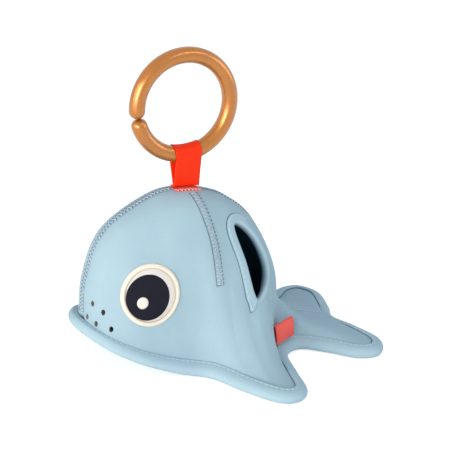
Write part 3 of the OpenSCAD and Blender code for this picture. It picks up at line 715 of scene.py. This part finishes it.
def makeBelly():
    bm, shares = gridMesh(belly["rowsAlong"], belly["rowsAcross"])
    s, across = shares[:, 0] * lastStation, shares[:, 1] * 2 - 1
    crestX = loft(s)[:, 0]
    rim = edgeAt(s) - belly["inset"] * outward(s)
    tip = sum(np.exp(-(end / belly["tip"]) ** 2) for end in (s, lastStation - s))
    middle = np.column_stack([crestX + (rim[:, 0] - crestX) * tip, np.zeros(len(s))])
    p = middle + (rim - middle) * np.abs(across)[:, None]
    p[:, 1] *= np.sign(across)
    toRim = np.linalg.norm(rim - np.column_stack([p[:, 0], np.abs(p[:, 1])]), axis=1)
    rise = belly["edgeRise"] * np.clip(1 - toRim / belly["edgeWidth"], 0, 1) ** 0.5
    setPoints(bm, np.column_stack([p, chin(p[:, 0]) + belly["clear"] + rise]))
    setUv(bm, shares, belly["size"])
    closeUp(bm)
    if sum(face.normal.z for face in bm.faces) > 0:
        bmesh.ops.reverse_faces(bm, faces=bm.faces)
    layers = ["neopreneFace", "neopreneLining"]
    piece = addPiece("bellyPanel", meshFrom(bm, "bellyPanel"), layers, ["belly_panel"])
    thicken(piece, belly["thickness"], -1, lined=True)


makeBelly()
print("belly made")

# Binding tape round the outline
binding = {
    "stepsPerStation": 14,
    "stitch": (2.3, 0.8, 0.22, -0.12),  # length, gap, lift and sink
    "stitchInset": 4.1,  # from the edge to the row of stitches
    "stitchHeight": 6.82,
    "stitchRadius": 0.24,
    "lineInset": 5.8,  # painted shade in the gap where the tape meets the panels, as a dark line
    "lineHeight": 6.35,
    "lineRadius": 0.24,
    "pucker": 0.10,
    "puckerWidth": 1.6,
    "puckerHeight": 6.3,  # lowest line of the section that puckers
    "topSpan": (4.5, 6.0),  # heights over which the tape's side turns into its top
    "topWidth": 5.6,
    "climb": 0.9,  # how far the tape runs up the wall from the nose to the flippers
    "climbEnd": 5.6,
    # outward and up, over the tape's outside and back along its inside
    "section": [
        (-5.35, 6.2), (-5.65, 6.6), (-5.5, 7.12), (-5.05, 7.22), (-4.6, 7.05), (-4.1, 6.9), (-3.5, 7.0),
        (-2.4, 6.9), (-1.2, 6.5), (0.0, 5.85), (0.9, 5.0), (1.45, 4.1), (1.62, 3.2), (1.5, 2.2),
        (1.0, 1.2), (0.1, 0.4), (-1.1, 0.08), (-2.4, 0.0), (-5.3, 0.0), (-5.45, 0.4), (-5.3, 0.8),
        (-2.4, 0.8), (-0.4, 0.9), (0.3, 1.6), (0.35, 3.3), (0.0, 4.8), (-0.9, 5.6), (-2.4, 6.0),
    ],
}


def outlineWalk(count):  # even walk round the outline: station and arc length
    s = np.linspace(0, 2 * lastStation, 4000)
    arc = arcLength(edgeAt(s))
    at = np.linspace(0, arc[-1], count)
    return np.interp(at, arc, s), at


def bindingPoint(s, inset, height):
    inset = np.broadcast_to(inset, len(s))
    far = s > lastStation
    half = np.where(far, 2 * lastStation - s, s)
    e, out = edgeAt(half), outward(half)
    low, high = binding["topSpan"]
    upper = smoothShare((height - low) / (high - low))
    inset = np.where(inset < 0, inset * (1 + (rimInset(half) / whale["tapeWidth"] - 1) * upper), inset)
    ground = chin(e[:, 0] + np.minimum(0, inset) * out[:, 0])
    p = np.column_stack([e + inset[:, None] * out, ground + height])
    climb = binding["climb"] * (1 - smoothShare((half - binding["climbEnd"]) / 2))
    share = np.clip(-inset / binding["topWidth"], 0, 1) ** 1.5 * upper
    p += (climb * share)[:, None] * wallRise(half)
    p[:, 1] *= np.where(far, -1, 1)
    return p


def makeBinding():
    section = np.array(binding["section"] + binding["section"][:1])
    steps, lines = 2 * lastStation * binding["stepsPerStation"], len(section) - 1
    bm, shares = gridMesh(steps, lines)
    walk, arc = outlineWalk(steps + 1)
    column, row = gridIndex(shares, steps, lines)
    inset, height = section[row].T
    wave = np.cos(2 * np.pi * arc[column] / sum(binding["stitch"][:2])) * binding["pucker"]
    onTop = np.exp(-((inset + binding["stitchInset"]) / binding["puckerWidth"]) ** 2)
    onTop = onTop * (height > binding["puckerHeight"])
    setPoints(bm, bindingPoint(walk[column], inset, height + wave * onTop))
    setUv(bm, np.column_stack([arc[column], arcLength(section)[row]]))
    closeUp(bm)
    mesh = meshFrom(bm, "edgeBinding", 60)
    soften(addPiece("edgeBinding", mesh, ["bindingTape"], ["edge_binding"]))
    fine = outlineWalk(1600)[0]
    top = bindingPoint(fine, -binding["stitchInset"], binding["stitchHeight"])
    runs = dashRuns(top, np.tile([0, 0, 1.0], (len(top), 1)), *binding["stitch"])
    addThread("edgeBindingStitches", runs, binding["stitchRadius"], "tapeThread")
    # a dark line of painted shade in the gap between the tape and the panels
    line = bindingPoint(fine, -binding["lineInset"], binding["lineHeight"])
    addThread("edgeBindingLine", [line], binding["lineRadius"], "paintedGapShade")


makeBinding()
print("edge binding made")


# Tape round the side openings
def stepAside(s, v, offset):  # place on the outer face that lies an offset away
    ds, dv = skinSlopes(s, v)
    a, b, c = np.sum(ds * ds, 1), np.sum(ds * dv, 1), np.sum(dv * dv, 1)
    f, g = np.sum(ds * offset, 1), np.sum(dv * offset, 1)
    det = a * c - b * b
    return s + (c * f - b * g) / det, v + (a * g - b * f) / det


def openingRing(angles, distance):  # places at a distance outside the opening's edge, and the way out
    s, v = openingPlace(angles)
    p = skin(s, v)
    along = unitRows(skin(*openingPlace(angles + 0.5)) - p)
    aside = -unitRows(np.cross(skinNormal(s, v), along))
    aside *= np.sign(np.sum(aside * (p - skin(*opening["middle"])[0]), 1))[:, None]
    steps = 4
    for k in range(steps):
        s, v = stepAside(s, v, aside * np.reshape(distance, (-1, 1)) / steps)
    return s, v, aside


def makeOpeningTape(name, side, node):
    turns = opening["turns"]
    angles = np.linspace(0, 360, turns + 1)
    past = angles - opening["tailTurn"]
    below = np.where(past > 0, np.exp(-np.abs(past) / opening["tailSpread"]),
                     np.exp(-(past / opening["tailFront"]) ** 2))
    front = smoothShare(0.3 + 2 * np.cos(np.radians(angles - opening["frontTurn"])))
    full, rear = opening["tapeWidth"], opening["rearWidth"]
    width = rear + (full - rear) * front + opening["tailWidth"] * below
    shown = np.maximum(front, below)
    proud = 0.3 + 0.7 * shown
    deep, roll = whale["neoprene"], opening["roll"]
    # share of the width, fixed offset and height for each line of the section
    lines = [
        (1.0, 0.0, 0.12), (1.0, 0.06, 0.6), (1.0, -0.35, 0.95), (0.82, 0, 0.86), (0.7, 0, 0.98),
        (0.4, 0, 1.12), (0.12, 0, 1.1), (0, -0.7, 0.8), (0, -roll, -0.2), (0, -roll - 0.25, -deep / 2),
        (0, -roll, 0.2 - deep), (0, -0.7, -deep - 0.8), (0.15, 0, -deep - 1.1), (0.95, 0, -deep - 1.0),
        (1.0, 0, -deep - 0.15), (0.15, 0, -deep - 0.15), (0, -0.3, -deep / 2), (0.15, 0, 0.12),
    ]
    rows = []
    for share, offset, height in lines + lines[:1]:
        s, v, aside = openingRing(angles, share * width)
        rows.append(over(s, v, height * proud if height > 0.3 else height) + offset * aside)
    bm, shares = gridMesh(turns, len(lines))
    column, row = gridIndex(shares, turns, len(lines))
    setPoints(bm, mirrored(np.array(rows)[row, column], side))
    setUv(bm, shares, opening["tapeSize"])
    closeUp(bm)
    soften(addPiece(name, meshFrom(bm, name, 70), ["openingTape"], [node]))
    sewn = np.flatnonzero(shown > opening["sewnFrom"])
    s, v = openingRing(angles[sewn], width[sewn] * opening["stitchShare"])[:2]
    top = mirrored(over(s, v, opening["stitchHeight"]), side)
    runs = dashRuns(top, mirrored(skinNormal(s, v), side), *opening["stitch"])
    addThread(name + "Stitches", runs, opening["threadRadius"], "tapeThread")
    # a dark line of painted shadow beside the opening tape's edge
    s, v = openingRing(angles[sewn], width[sewn] + opening["lineOut"])[:2]
    line = mirrored(over(s, v, opening["lineHeight"]), side)
    addThread(name + "Line", [line], opening["threadRadius"], "paintedGapShade")


for label, side in sides:
    makeOpeningTape(label + "OpeningTape", side, label + "_opening_binding")
print("opening tapes made")

# Zigzag seams, each with a row of short dark dashes beside it, painted shade of the needle holes
seam = {
    "width": 3.9,
    "middleWidth": 3.3,  # on the middle line
    "pitch": 2.2,
    "radius": 0.27,
    "lift": 0.42,
    "sink": -0.12,
    # painted shade: dark dashes for the needle holes, and a dark line in a dart's fold
    "dash": (1.1, 1.1, 0.3, -0.05),  # length, gap, lift and sink
    "dashOut": 0.2,  # beside the zigzag
    "foldOut": 0.5,
    "rowRadius": 0.2,
    "tailDash": (1.6, 0.7, 0.12, -0.12),
    "tailRadius": 0.18,
    "tailSpan": (11.2, 16.4),
}
seamPaths = {
    "front": [(0.35 + 0.35 * k, 0.0) for k in range(10)],
    "back": [(4.5 + 0.5 * k, 0.0) for k in range(11)],
    "dart": [(4.06, 0.075), (4.14, 0.18), (4.24, 0.276), (4.42, 0.402), (4.5, 0.49), (4.55, 0.585)],
}


def makeSeam(name, path, side, node, width, finish, base=0.0):
    run, *laid = zigzagRun(path, width, seam["pitch"], base + seam["lift"], base + seam["sink"])
    addThread(name, [mirrored(run, side)], seam["radius"], finish, [node])
    return laid


# Painted shade along a seam: dark dashes for the needle holes along one edge and, on a dart, a dark line for
# the fold's groove along the other
def makePaintedSeamShade(name, laid, side, width, foldSign, fold):
    middle, across, out = laid
    dashes = middle - foldSign * (width / 2 + seam["dashOut"]) * across
    runs = dashRuns(mirrored(dashes, side), mirrored(out, side), *seam["dash"])
    if fold:  # closed by a short crossing at its end
        line = middle + foldSign * (width / 2 + seam["foldOut"]) * across + 0.05 * out
        runs.append(mirrored(line, side))
        runs.append(mirrored(np.linspace(line[-1], dashes[-1], 7) + 0.1 * out[-1], side))
    addThread(name, runs, seam["rowRadius"], "paintedSeamShade")


def makeTailSeam():
    fine = np.linspace(*seam["tailSpan"], 120)
    runs = dashRuns(skin(fine, 0), skinNormal(fine, 0), *seam["tailDash"])
    addThread("tailSeam", runs, seam["tailRadius"], "tapeThread", ["tail_seam_stitching"])


for label, foldSign in (("front", -1), ("back", 1)):
    width = seam["middleWidth"]
    laid = makeSeam(label + "Seam", seamPaths[label], 1, label + "_seam_stitching", width, "seamThread")
    makePaintedSeamShade(label + "SeamRows", laid, 1, width, foldSign, False)
for label, side in sides:
    width = seam["width"]
    laid = makeSeam(label + "Dart", seamPaths["dart"], side, label + "_dart_stitching", width, "seamThread")
    makePaintedSeamShade(label + "DartRows", laid, side, width, 1, True)
makeTailSeam()

# Ribbon and ring, and the ribbon's sewn ends on the crown
ribbon = {
    "lean": 7.0,
    "hinge": (crownX, 0.0, 101.05),
    "width": 15.5,
    "footRadius": 0.75,
    "footLift": 0.5,  # from the crown's middle line to the ribbon's foot
    "footReach": 7.0,
    "barRadius": 4.55,
    "barHeight": 18.05,
    "ease": 0.5,
    "topClear": 0.3,
    "sagShare": 0.8,  # how far the ribbon's top follows the ring's curve
    "thickness": 0.55,
    "step": 0.7,
    "rowsAcross": 24,
    "ringRadius": 28.2,
    "gapDegrees": 187.0,
    "gap": 0.4,
    "endDepth": 4.5,  # how far the rounded ends of the ring reach past its full bar
    "endRound": 0.88,
    "endRows": 10,
    "barSides": 40,
    "ringSteps": 180,
    "tabSpan": (0.008, 0.054),  # sewn end of the ribbon, as shares of the panel from the crest down
    "tabLength": 4.0,
    "tabLift": 0.3,
    "stitchShare": 0.045,
    "stitchWidth": 2.4,
}
crownStation = 4
perStation = float(np.linalg.norm(skin(crownStation + 0.5, 0) - skin(crownStation - 0.5, 0)))
ribbonRow = [(crownStation + k * ribbon["width"] / 2 / perStation, ribbon["stitchShare"]) for k in (-1, 0, 1)]


def makeRibbonTab(name, side):  # the ribbon's sewn end, under its stitches
    bm, shares = gridMesh(20, 6)
    low, high = ribbon["tabSpan"]
    s = crownStation + (shares[:, 0] - 0.5) * ribbon["width"] / perStation
    setPoints(bm, mirrored(over(s, low + shares[:, 1] * (high - low), ribbon["tabLift"]), side))
    setUv(bm, shares, (ribbon["width"], ribbon["tabLength"]))
    bmesh.ops.recalc_face_normals(bm, faces=bm.faces)
    if sum(face.normal.z for face in bm.faces) < 0:
        bmesh.ops.reverse_faces(bm, faces=bm.faces)
    piece = addPiece(name, meshFrom(bm, name), ["ribbonSatin"], [])
    thicken(piece, ribbon["thickness"], -1)


for label, side in sides:
    makeSeam(label + "RibbonStitches", ribbonRow, side, label + "_ribbon_stitching", ribbon["stitchWidth"],
             "ribbonThread", ribbon["tabLift"])
    makeRibbonTab(label + "RibbonTab", side)
print("seams made")

# Embroidered eyes
eye = {
    "place": (2.49, 0.698),
    "radius": 17.5,
    "rim": 3.0,
    "shift": (-0.8, -0.2),
    "stretch": (0.965, 1.025),
    "pupilRadius": 12.75,
    "pupilShift": (1.7, -1.1),
    "glintRadius": 3.3,
    "glintShift": (5.1, -3.9),
    "threads": 168,
    "rimRows": 11,
    "rows": 15,
    "whiteSectors": 96,
    "pupilSectors": 216,
    "glintSectors": 64,
    "rimTall": 1.25,  # how tall each layer is, and the height that it starts from
    "rimBase": 0.25,
    "whiteTall": 0.7,
    "whiteBase": 0.2,
    "pupilTall": 0.62,
    "pupilBase": 0.85,
    "glintTall": 0.7,
    "glintBase": 1.4,
    "tuck": 0.6,  # how far the white runs under the rim
}
eyeSpot = skin(*eye["place"])[0]
eyeOut = skinNormal(*eye["place"])[0]
eyeAlong = np.cross([0, 0, 1], eyeOut)
eyeAlong /= np.linalg.norm(eyeAlong)
eyeUp = np.cross(eyeOut, eyeAlong)


def eyePlaces(points):  # places on the outer face over points of the eye's own plane
    s = np.full(len(points), eye["place"][0])
    v = np.full(len(points), eye["place"][1])
    for k in range(6):
        miss = skin(s, v) - eyeSpot
        ds, dv = skinSlopes(s, v)
        a, b, c, d = ds @ eyeAlong, dv @ eyeAlong, ds @ eyeUp, dv @ eyeUp
        p, q = points[:, 0] - miss @ eyeAlong, points[:, 1] - miss @ eyeUp
        det = a * d - b * c
        s, v = s + (d * p - b * q) / det, v + (a * q - c * p) / det
    return s, v


# A layer of thread on rings about its middle, where height takes the share outwards and the column
def makeEyeSheet(name, side, node, finish, radii, sectors, height, base, shift=(0, 0), roundUv=False):
    lines = len(radii) - 1
    bm, shares = gridMesh(sectors, lines)
    column, row = gridIndex(shares, sectors, lines)
    turn, r = 2 * np.pi * column / sectors, np.array(radii)[row]
    flat = np.column_stack([r * np.cos(turn), r * np.sin(turn)])
    s, v = eyePlaces((flat + np.array(shift)) * np.array(eye["stretch"]) + np.array(eye["shift"]))
    lift = np.array([height(line / lines, sector) for line, sector in zip(row, column)])
    setPoints(bm, mirrored(over(s, v, base + lift), side))
    setUv(bm, np.column_stack([turn * radii[-1], r]) if roundUv else flat)
    closeUp(bm)
    addPiece(name, meshFrom(bm, name, 75), [finish], [node])


def evenRadii(low, high, rows):
    return [low + (high - low) * k / (rows - 1) for k in range(rows)]


def rollHeight(x, column):  # raised roll of radial threads
    thread = 0.10 if column % 2 else 0.0
    return (eye["rimTall"] - thread) * max(0.0, math.sin(math.pi * x)) ** 0.55


def pupilHeight(x, column):  # fill with a raised satin border
    border = 0.28 * math.exp(-((x - 0.9) / 0.07) ** 2)
    thread = 0.05 if column % 2 and x > 0.8 else 0.0
    return (eye["pupilTall"] + border - thread) * (min(1, (1 - x) / 0.06) ** 0.5 if x > 0.94 else 1)


def domeHeight(tall, soft):  # flat top with a rounded edge
    def height(x, column):
        return tall * min(1, (1 - x) / soft) ** 0.5 if x > 1 - soft else tall
    return height


def makeEye(prefix, side):
    inner = eye["radius"] - eye["rim"]
    makeEyeSheet(prefix + "EyeRim", side, prefix + "_eye_rim", "creamSatin",
                 evenRadii(inner, eye["radius"], eye["rimRows"]), 2 * eye["threads"], rollHeight,
                 eye["rimBase"], roundUv=True)
    makeEyeSheet(prefix + "EyeWhite", side, prefix + "_eye_white", "eyeWhiteFill",
                 evenRadii(0, inner + eye["tuck"], eye["rows"]), eye["whiteSectors"],
                 domeHeight(eye["whiteTall"], 0.1), eye["whiteBase"])
    makeEyeSheet(prefix + "Pupil", side, prefix + "_pupil", "pupilFill",
                 evenRadii(0, eye["pupilRadius"], eye["rows"]), eye["pupilSectors"], pupilHeight,
                 eye["pupilBase"], eye["pupilShift"])
    makeEyeSheet(prefix + "Glint", side, prefix + "_glint", "glintSatin",
                 evenRadii(0, eye["glintRadius"], eye["rows"]), eye["glintSectors"],
                 domeHeight(eye["glintTall"], 0.35), eye["glintBase"], eye["glintShift"])


for label, side in sides:
    makeEye(label, side)
print("eyes made")

# Ribbon and ring lean forward together over the crown
leanTurn = Matrix.Rotation(math.radians(-ribbon["lean"]), 4, "Y")
crownPlace = Matrix.Translation(Vector(ribbon["hinge"]) * mm) @ leanTurn @ Matrix.Scale(mm, 4)


def bandPath(footRadius, topRadius, height, steps=40):  # up one leg, round the top and down the other
    lean = math.asin((topRadius - footRadius) / height)
    legFoot = [footRadius * math.cos(lean), -footRadius * math.sin(lean)]
    legTop = [topRadius * math.cos(lean), height - topRadius * math.sin(lean)]
    legs = [[a + (b - a) * k / 14 for a, b in zip(legFoot, legTop)] for k in range(14)]
    turns = [-lean + (math.pi + 2 * lean) * k / steps for k in range(steps + 1)]
    arc = [[topRadius * math.cos(turn), height + topRadius * math.sin(turn)] for turn in turns]
    return np.array(legs + arc + [[-y, z] for y, z in reversed(legs)])


def bandGrid(path, width, rows):  # grid along a path, its places across, out and up, and its length
    bm, shares = gridMesh(len(path) - 1, rows)
    y, z = path[gridIndex(shares, len(path) - 1, rows)[0]].T
    length = float(np.linalg.norm(np.diff(path, axis=0), axis=1).sum())
    setUv(bm, np.column_stack([shares[:, 0] * length, shares[:, 1] * width]))
    return bm, (shares[:, 1] - 0.5) * width, y, z, length


def makeRibbon():
    top, high = ribbon["barRadius"] + ribbon["ease"], ribbon["barHeight"] + ribbon["topClear"]
    path = resample(bandPath(ribbon["footRadius"], top, high), ribbon["step"])
    bm, x, y, z, length = bandGrid(path, ribbon["width"], ribbon["rowsAcross"])
    sag = ribbon["ringRadius"] - np.sqrt(ribbon["ringRadius"] ** 2 - x ** 2)
    lifted = np.clip(z / ribbon["barHeight"], 0, 1) ** 2
    lean = math.radians(ribbon["lean"])
    under = crownX + x * math.cos(lean)
    crest = np.interp(under, *np.transpose(skin(np.linspace(3, 5, 80), 0)[:, [0, 2]]))
    ground = (crest - ribbon["hinge"][2] - x * math.sin(lean)) / math.cos(lean) + ribbon["footLift"]
    settle = np.clip(1 - (z + ribbon["footRadius"]) / ribbon["footReach"], 0, 1) ** 2
    up = z + sag * lifted * ribbon["sagShare"] + (ground + ribbon["footRadius"]) * settle
    setPoints(bm, np.column_stack([x, y, up]))
    bmesh.ops.transform(bm, matrix=crownPlace @ Matrix.Scale(1 / mm, 4), verts=bm.verts)
    bmesh.ops.recalc_face_normals(bm, faces=bm.faces)
    mesh = meshFrom(bm, "ribbonLoop")
    piece = addPiece("ribbonLoop", mesh, ["ribbonSatin"], ["ribbon_loop"], "ribbon")
    thicken(piece, ribbon["thickness"], 0)
    print("ribbon length in mm", round(length, 1))


def roundEnd(bm, edges, towards):  # rounded end of the bar, drawn out ring by ring
    rounds = ribbon["endRows"]
    middle = sum((v.co for e in edges for v in e.verts), Vector()) / (2 * len(edges))
    away = Vector((0, 1, 0)).cross(middle).normalized()
    if away.dot(towards - middle) < 0:
        away.negate()
    ring, size = edges, 1.0
    for k in range(1, rounds + 1):
        turn = math.radians(90 * k / rounds)
        made = bmesh.ops.extrude_edge_only(bm, edges=ring)["geom"]
        ring = [g for g in made if isinstance(g, bmesh.types.BMEdge)]
        newSize = max(0.0, math.cos(turn)) ** ribbon["endRound"]
        drawnOut = away * ribbon["endDepth"] * math.sin(turn) ** ribbon["endRound"]
        for v in {v for e in ring for v in e.verts}:
            spoke = v.co - middle
            flat = spoke - spoke.dot(away) * away
            v.co = middle + flat * newSize / size + drawnOut
        size = newSize


def makeRing():
    big, bar = ribbon["ringRadius"], ribbon["barRadius"]
    half = math.degrees(math.asin((ribbon["gap"] / 2 + ribbon["endDepth"]) / big))
    start, gapTurn = math.radians(ribbon["gapDegrees"] + half), math.radians(ribbon["gapDegrees"])
    bm = bmesh.new()
    radial, acrossBar = Vector((math.cos(start), 0, math.sin(start))), Vector((0, 1, 0))
    basis = Matrix((radial, acrossBar, radial.cross(acrossBar))).transposed().to_4x4()
    place = Matrix.Translation(radial * big) @ basis
    circle = bmesh.ops.create_circle(bm, segments=ribbon["barSides"], radius=bar, matrix=place)["verts"]
    firstEdges = list(bm.edges)
    swept = bmesh.ops.spin(bm, geom=circle + firstEdges, cent=(0, 0, 0), axis=(0, -1, 0),
                           angle=math.radians(360 - 2 * half), steps=ribbon["ringSteps"])["geom_last"]
    lastEdges = [g for g in swept if isinstance(g, bmesh.types.BMEdge)]
    gapPoint = Vector((math.cos(gapTurn), 0, math.sin(gapTurn))) * big
    for edges in (firstEdges, lastEdges):
        roundEnd(bm, edges, gapPoint)
    bmesh.ops.remove_doubles(bm, verts=bm.verts, dist=1e-3)
    bmesh.ops.recalc_face_normals(bm, faces=bm.faces)
    rise = Matrix.Translation((0, 0, ribbon["barHeight"] + big))
    bmesh.ops.transform(bm, matrix=crownPlace @ rise, verts=bm.verts)
    mesh = meshFrom(bm, "hangingRing", 60)
    addPiece("hangingRing", mesh, ["goldPlastic"], ["hanging_ring"], "ring")


makeRibbon()
makeRing()
print("ribbon and ring made")

# Folded tag beside the tail
tag = {
    "foot": (30.92, -27.26, 8.55),
    "along": (0.859851, 0.510545),
    "out": (0.510545, -0.859851),
    "lean": 14.0,
    "length": 21.0,
    "height": 11.2,
    "footRadius": 0.45,
    "fold": 0.85,
    "foldSteps": 16,
    "bow": 0.9,
    "thickness": 0.4,
    "step": 0.4,
    "rowsAcross": 28,
}


def makeTag():
    path = bandPath(tag["footRadius"], tag["fold"], tag["height"] - tag["fold"], tag["foldSteps"])
    bm, x, y, z, length = bandGrid(resample(path, tag["step"]), tag["length"], tag["rowsAcross"])
    middle = 1 - (2 * x / tag["length"]) ** 2
    bow = tag["bow"] * np.sin(np.pi * np.clip(z / tag["height"], 0, 1)) * (0.35 + 0.65 * middle)
    y = y + np.where(y > 0, bow, bow * 0.3)
    lean = math.radians(tag["lean"])
    aside, up = y * math.cos(lean) - z * math.sin(lean), y * math.sin(lean) + z * math.cos(lean)
    setPoints(bm, np.column_stack([
        tag["foot"][0] + aside * tag["out"][0] + x * tag["along"][0],
        tag["foot"][1] + aside * tag["out"][1] + x * tag["along"][1],
        tag["foot"][2] + up,
    ]))
    bmesh.ops.recalc_face_normals(bm, faces=bm.faces)
    piece = addPiece("sideTag", meshFrom(bm, "sideTag"), ["tagSatin"], ["side_tag"], "tag")
    thicken(piece, tag["thickness"], 0)
    print("tag length in mm", round(length, 1))


makeTag()
print("tag made")

# Squeaker: the hard solids stay, each with its own finish, and the soft bellows is built anew
squeakerFinish = {
    "squeaker_base": "squeakerPlastic",
    "squeaker_cap": "squeakerPlastic",
    "squeaker_reed_tube": "squeakerPlastic",
    "squeaker_reed": "reedBrass",
}
bellows = {
    "middle": (-8.0, 0.0),
    "foot": 5.42,
    "top": 33.58,
    "stroke": 10.0,
    "folds": 4,
    "radius": 15.5,
    "wave": 2.0,
    "wall": 1.2,
    "stepsPerFold": 24,
    "sides": 72,
}


def makeBellows():
    low, high = bellows["foot"], bellows["top"]
    height = np.linspace(low, high, bellows["stepsPerFold"] * bellows["folds"] + 1)
    fold = bellows["wave"] * np.cos(2 * np.pi * bellows["folds"] * (height - low) / (high - low))
    outer = np.column_stack([bellows["middle"][0] + bellows["radius"] - fold, height])
    bm = bmesh.new()
    around = []
    for x, z in np.vstack([outer, outer[::-1] - [bellows["wall"], 0]]):
        around.append(bm.verts.new(Vector((x, bellows["middle"][1], z)) * mm))
    edges = [bm.edges.new(pair) for pair in zip(around, around[1:] + around[:1])]
    bmesh.ops.spin(bm, geom=around + edges, cent=Vector((*bellows["middle"], 0)) * mm, axis=(0, 0, 1),
                   angle=2 * math.pi, steps=bellows["sides"], use_merge=True)
    closeUp(bm)
    mesh = meshFrom(bm, "squeakerBellows", 60)
    piece = addPiece("squeakerBellows", mesh, ["bellowsPlastic"], ["squeaker_bellows"])
    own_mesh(piece)


makeBellows()
for node, finish in squeakerFinish.items():
    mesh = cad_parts[node].data
    mesh.materials.clear()
    mesh.materials.append(finishes[finish])
print("squeaker made")

# Floor, light and camera
studio = {
    "skyTone": (0.395, 0.45, 0.515),
    "floorTone": (0.95, 0.945, 0.94),
    "floorGlow": 0.55,
    "aim": (0, 0, 0.06),
    "lamps": {  # place, power, size and tone
        "key": ((-1.0, -0.80, 0.18), 13.3, (0.7, 0.7), (1.0, 0.92, 0.835)),
        "side": ((-1.25, -0.15, 0.25), 5.0, (0.8, 0.8), (1.0, 0.92, 0.84)),
        "fill": ((1.02, -0.55, 0.43), 2.3, (0.6, 0.6), (1.0, 0.98, 0.95)),
        "top": ((0.50, -0.78, 0.95), 2.0, (0.95, 0.1), (1.0, 0.97, 0.92)),  # strip along the ring
    },
}


def addLamp(name, place, power, size, tone):
    lamp = bpy.data.lights.new(name, "AREA")
    lamp.energy = power
    lamp.color = tone
    lamp.shape = "RECTANGLE"
    lamp.size, lamp.size_y = size
    holder = bpy.data.objects.new(name, lamp)
    scene.collection.objects.link(holder)
    holder.location = place
    towards = Vector(studio["aim"]) - Vector(place)
    holder.rotation_euler = towards.to_track_quat("-Z", "Y").to_euler()


def seenDirectly(tree):  # 1 for the camera, for mirrors and for glass
    light = tree.nodes.new("ShaderNodeLightPath")
    seen = mathNode(tree, "MAXIMUM", light.outputs["Is Camera Ray"], light.outputs["Is Glossy Ray"])
    return mathNode(tree, "MAXIMUM", seen, light.outputs["Is Transmission Ray"])


def makeStudio():
    bm = bmesh.new()
    bmesh.ops.create_grid(bm, x_segments=2, y_segments=2, size=6.0)
    floor = bpy.data.objects.new("floor", meshFrom(bm, "floor"))
    scene.collection.objects.link(floor)
    material = bpy.data.materials.new("paleFloor")
    material.use_nodes = True
    tree = material.node_tree
    shader = tree.nodes["Principled BSDF"]
    shader.inputs["Base Color"].default_value = (*studio["floorTone"], 1)
    shader.inputs["Roughness"].default_value = 0.9
    glow = tree.nodes.new("ShaderNodeEmission")
    strength = mathNode(tree, "MULTIPLY", seenDirectly(tree), studio["floorGlow"])
    tree.links.new(strength, glow.inputs["Strength"])
    both = tree.nodes.new("ShaderNodeAddShader")
    tree.links.new(shader.outputs[0], both.inputs[0])
    tree.links.new(glow.outputs[0], both.inputs[1])
    tree.links.new(both.outputs[0], tree.nodes["Material Output"].inputs["Surface"])
    floor.data.materials.append(material)
    world = bpy.data.worlds.new("studio")
    scene.world = world
    world.use_nodes = True
    tree = world.node_tree
    sky = mixNode(tree, seenDirectly(tree), studio["skyTone"], (1, 1, 1))
    tree.links.new(sky, tree.nodes["Background"].inputs["Color"])
    for name, setup in studio["lamps"].items():
        addLamp(name, *setup)


shot = {
    "turn": 29.48,
    "elevation": 20.06,
    "roll": 5.97,
    "distance": 750.0,
    "target": (-4.2, -3.7, 75.2),
    "focalPixels": 1300.0,
    "framePixels": 450.0,
    "sensor": 36.0,
}


def makeCamera():
    a, e, roll = math.radians(-shot["turn"]), math.radians(shot["elevation"]), math.radians(shot["roll"])
    back = Vector((math.sin(a) * math.cos(e), -math.cos(a) * math.cos(e), math.sin(e)))
    right = Vector((math.cos(a), math.sin(a), 0))
    up = back.cross(right)
    tiltedRight = right * math.cos(roll) + up * math.sin(roll)
    tiltedUp = up * math.cos(roll) - right * math.sin(roll)
    lens = bpy.data.cameras.new("photoCamera")
    lens.sensor_width = shot["sensor"]
    lens.lens = shot["focalPixels"] / shot["framePixels"] * shot["sensor"]
    lens.clip_start = 0.01
    lens.clip_end = 50
    camera = bpy.data.objects.new("photoCamera", lens)
    scene.collection.objects.link(camera)
    place = Matrix((tiltedRight, tiltedUp, back)).transposed().to_4x4()
    place.translation = (Vector(shot["target"]) + back * shot["distance"]) * mm
    camera.matrix_world = place
    scene.camera = camera


makeStudio()
makeCamera()
scene.view_settings.view_transform = "Standard"
print("studio and camera made")
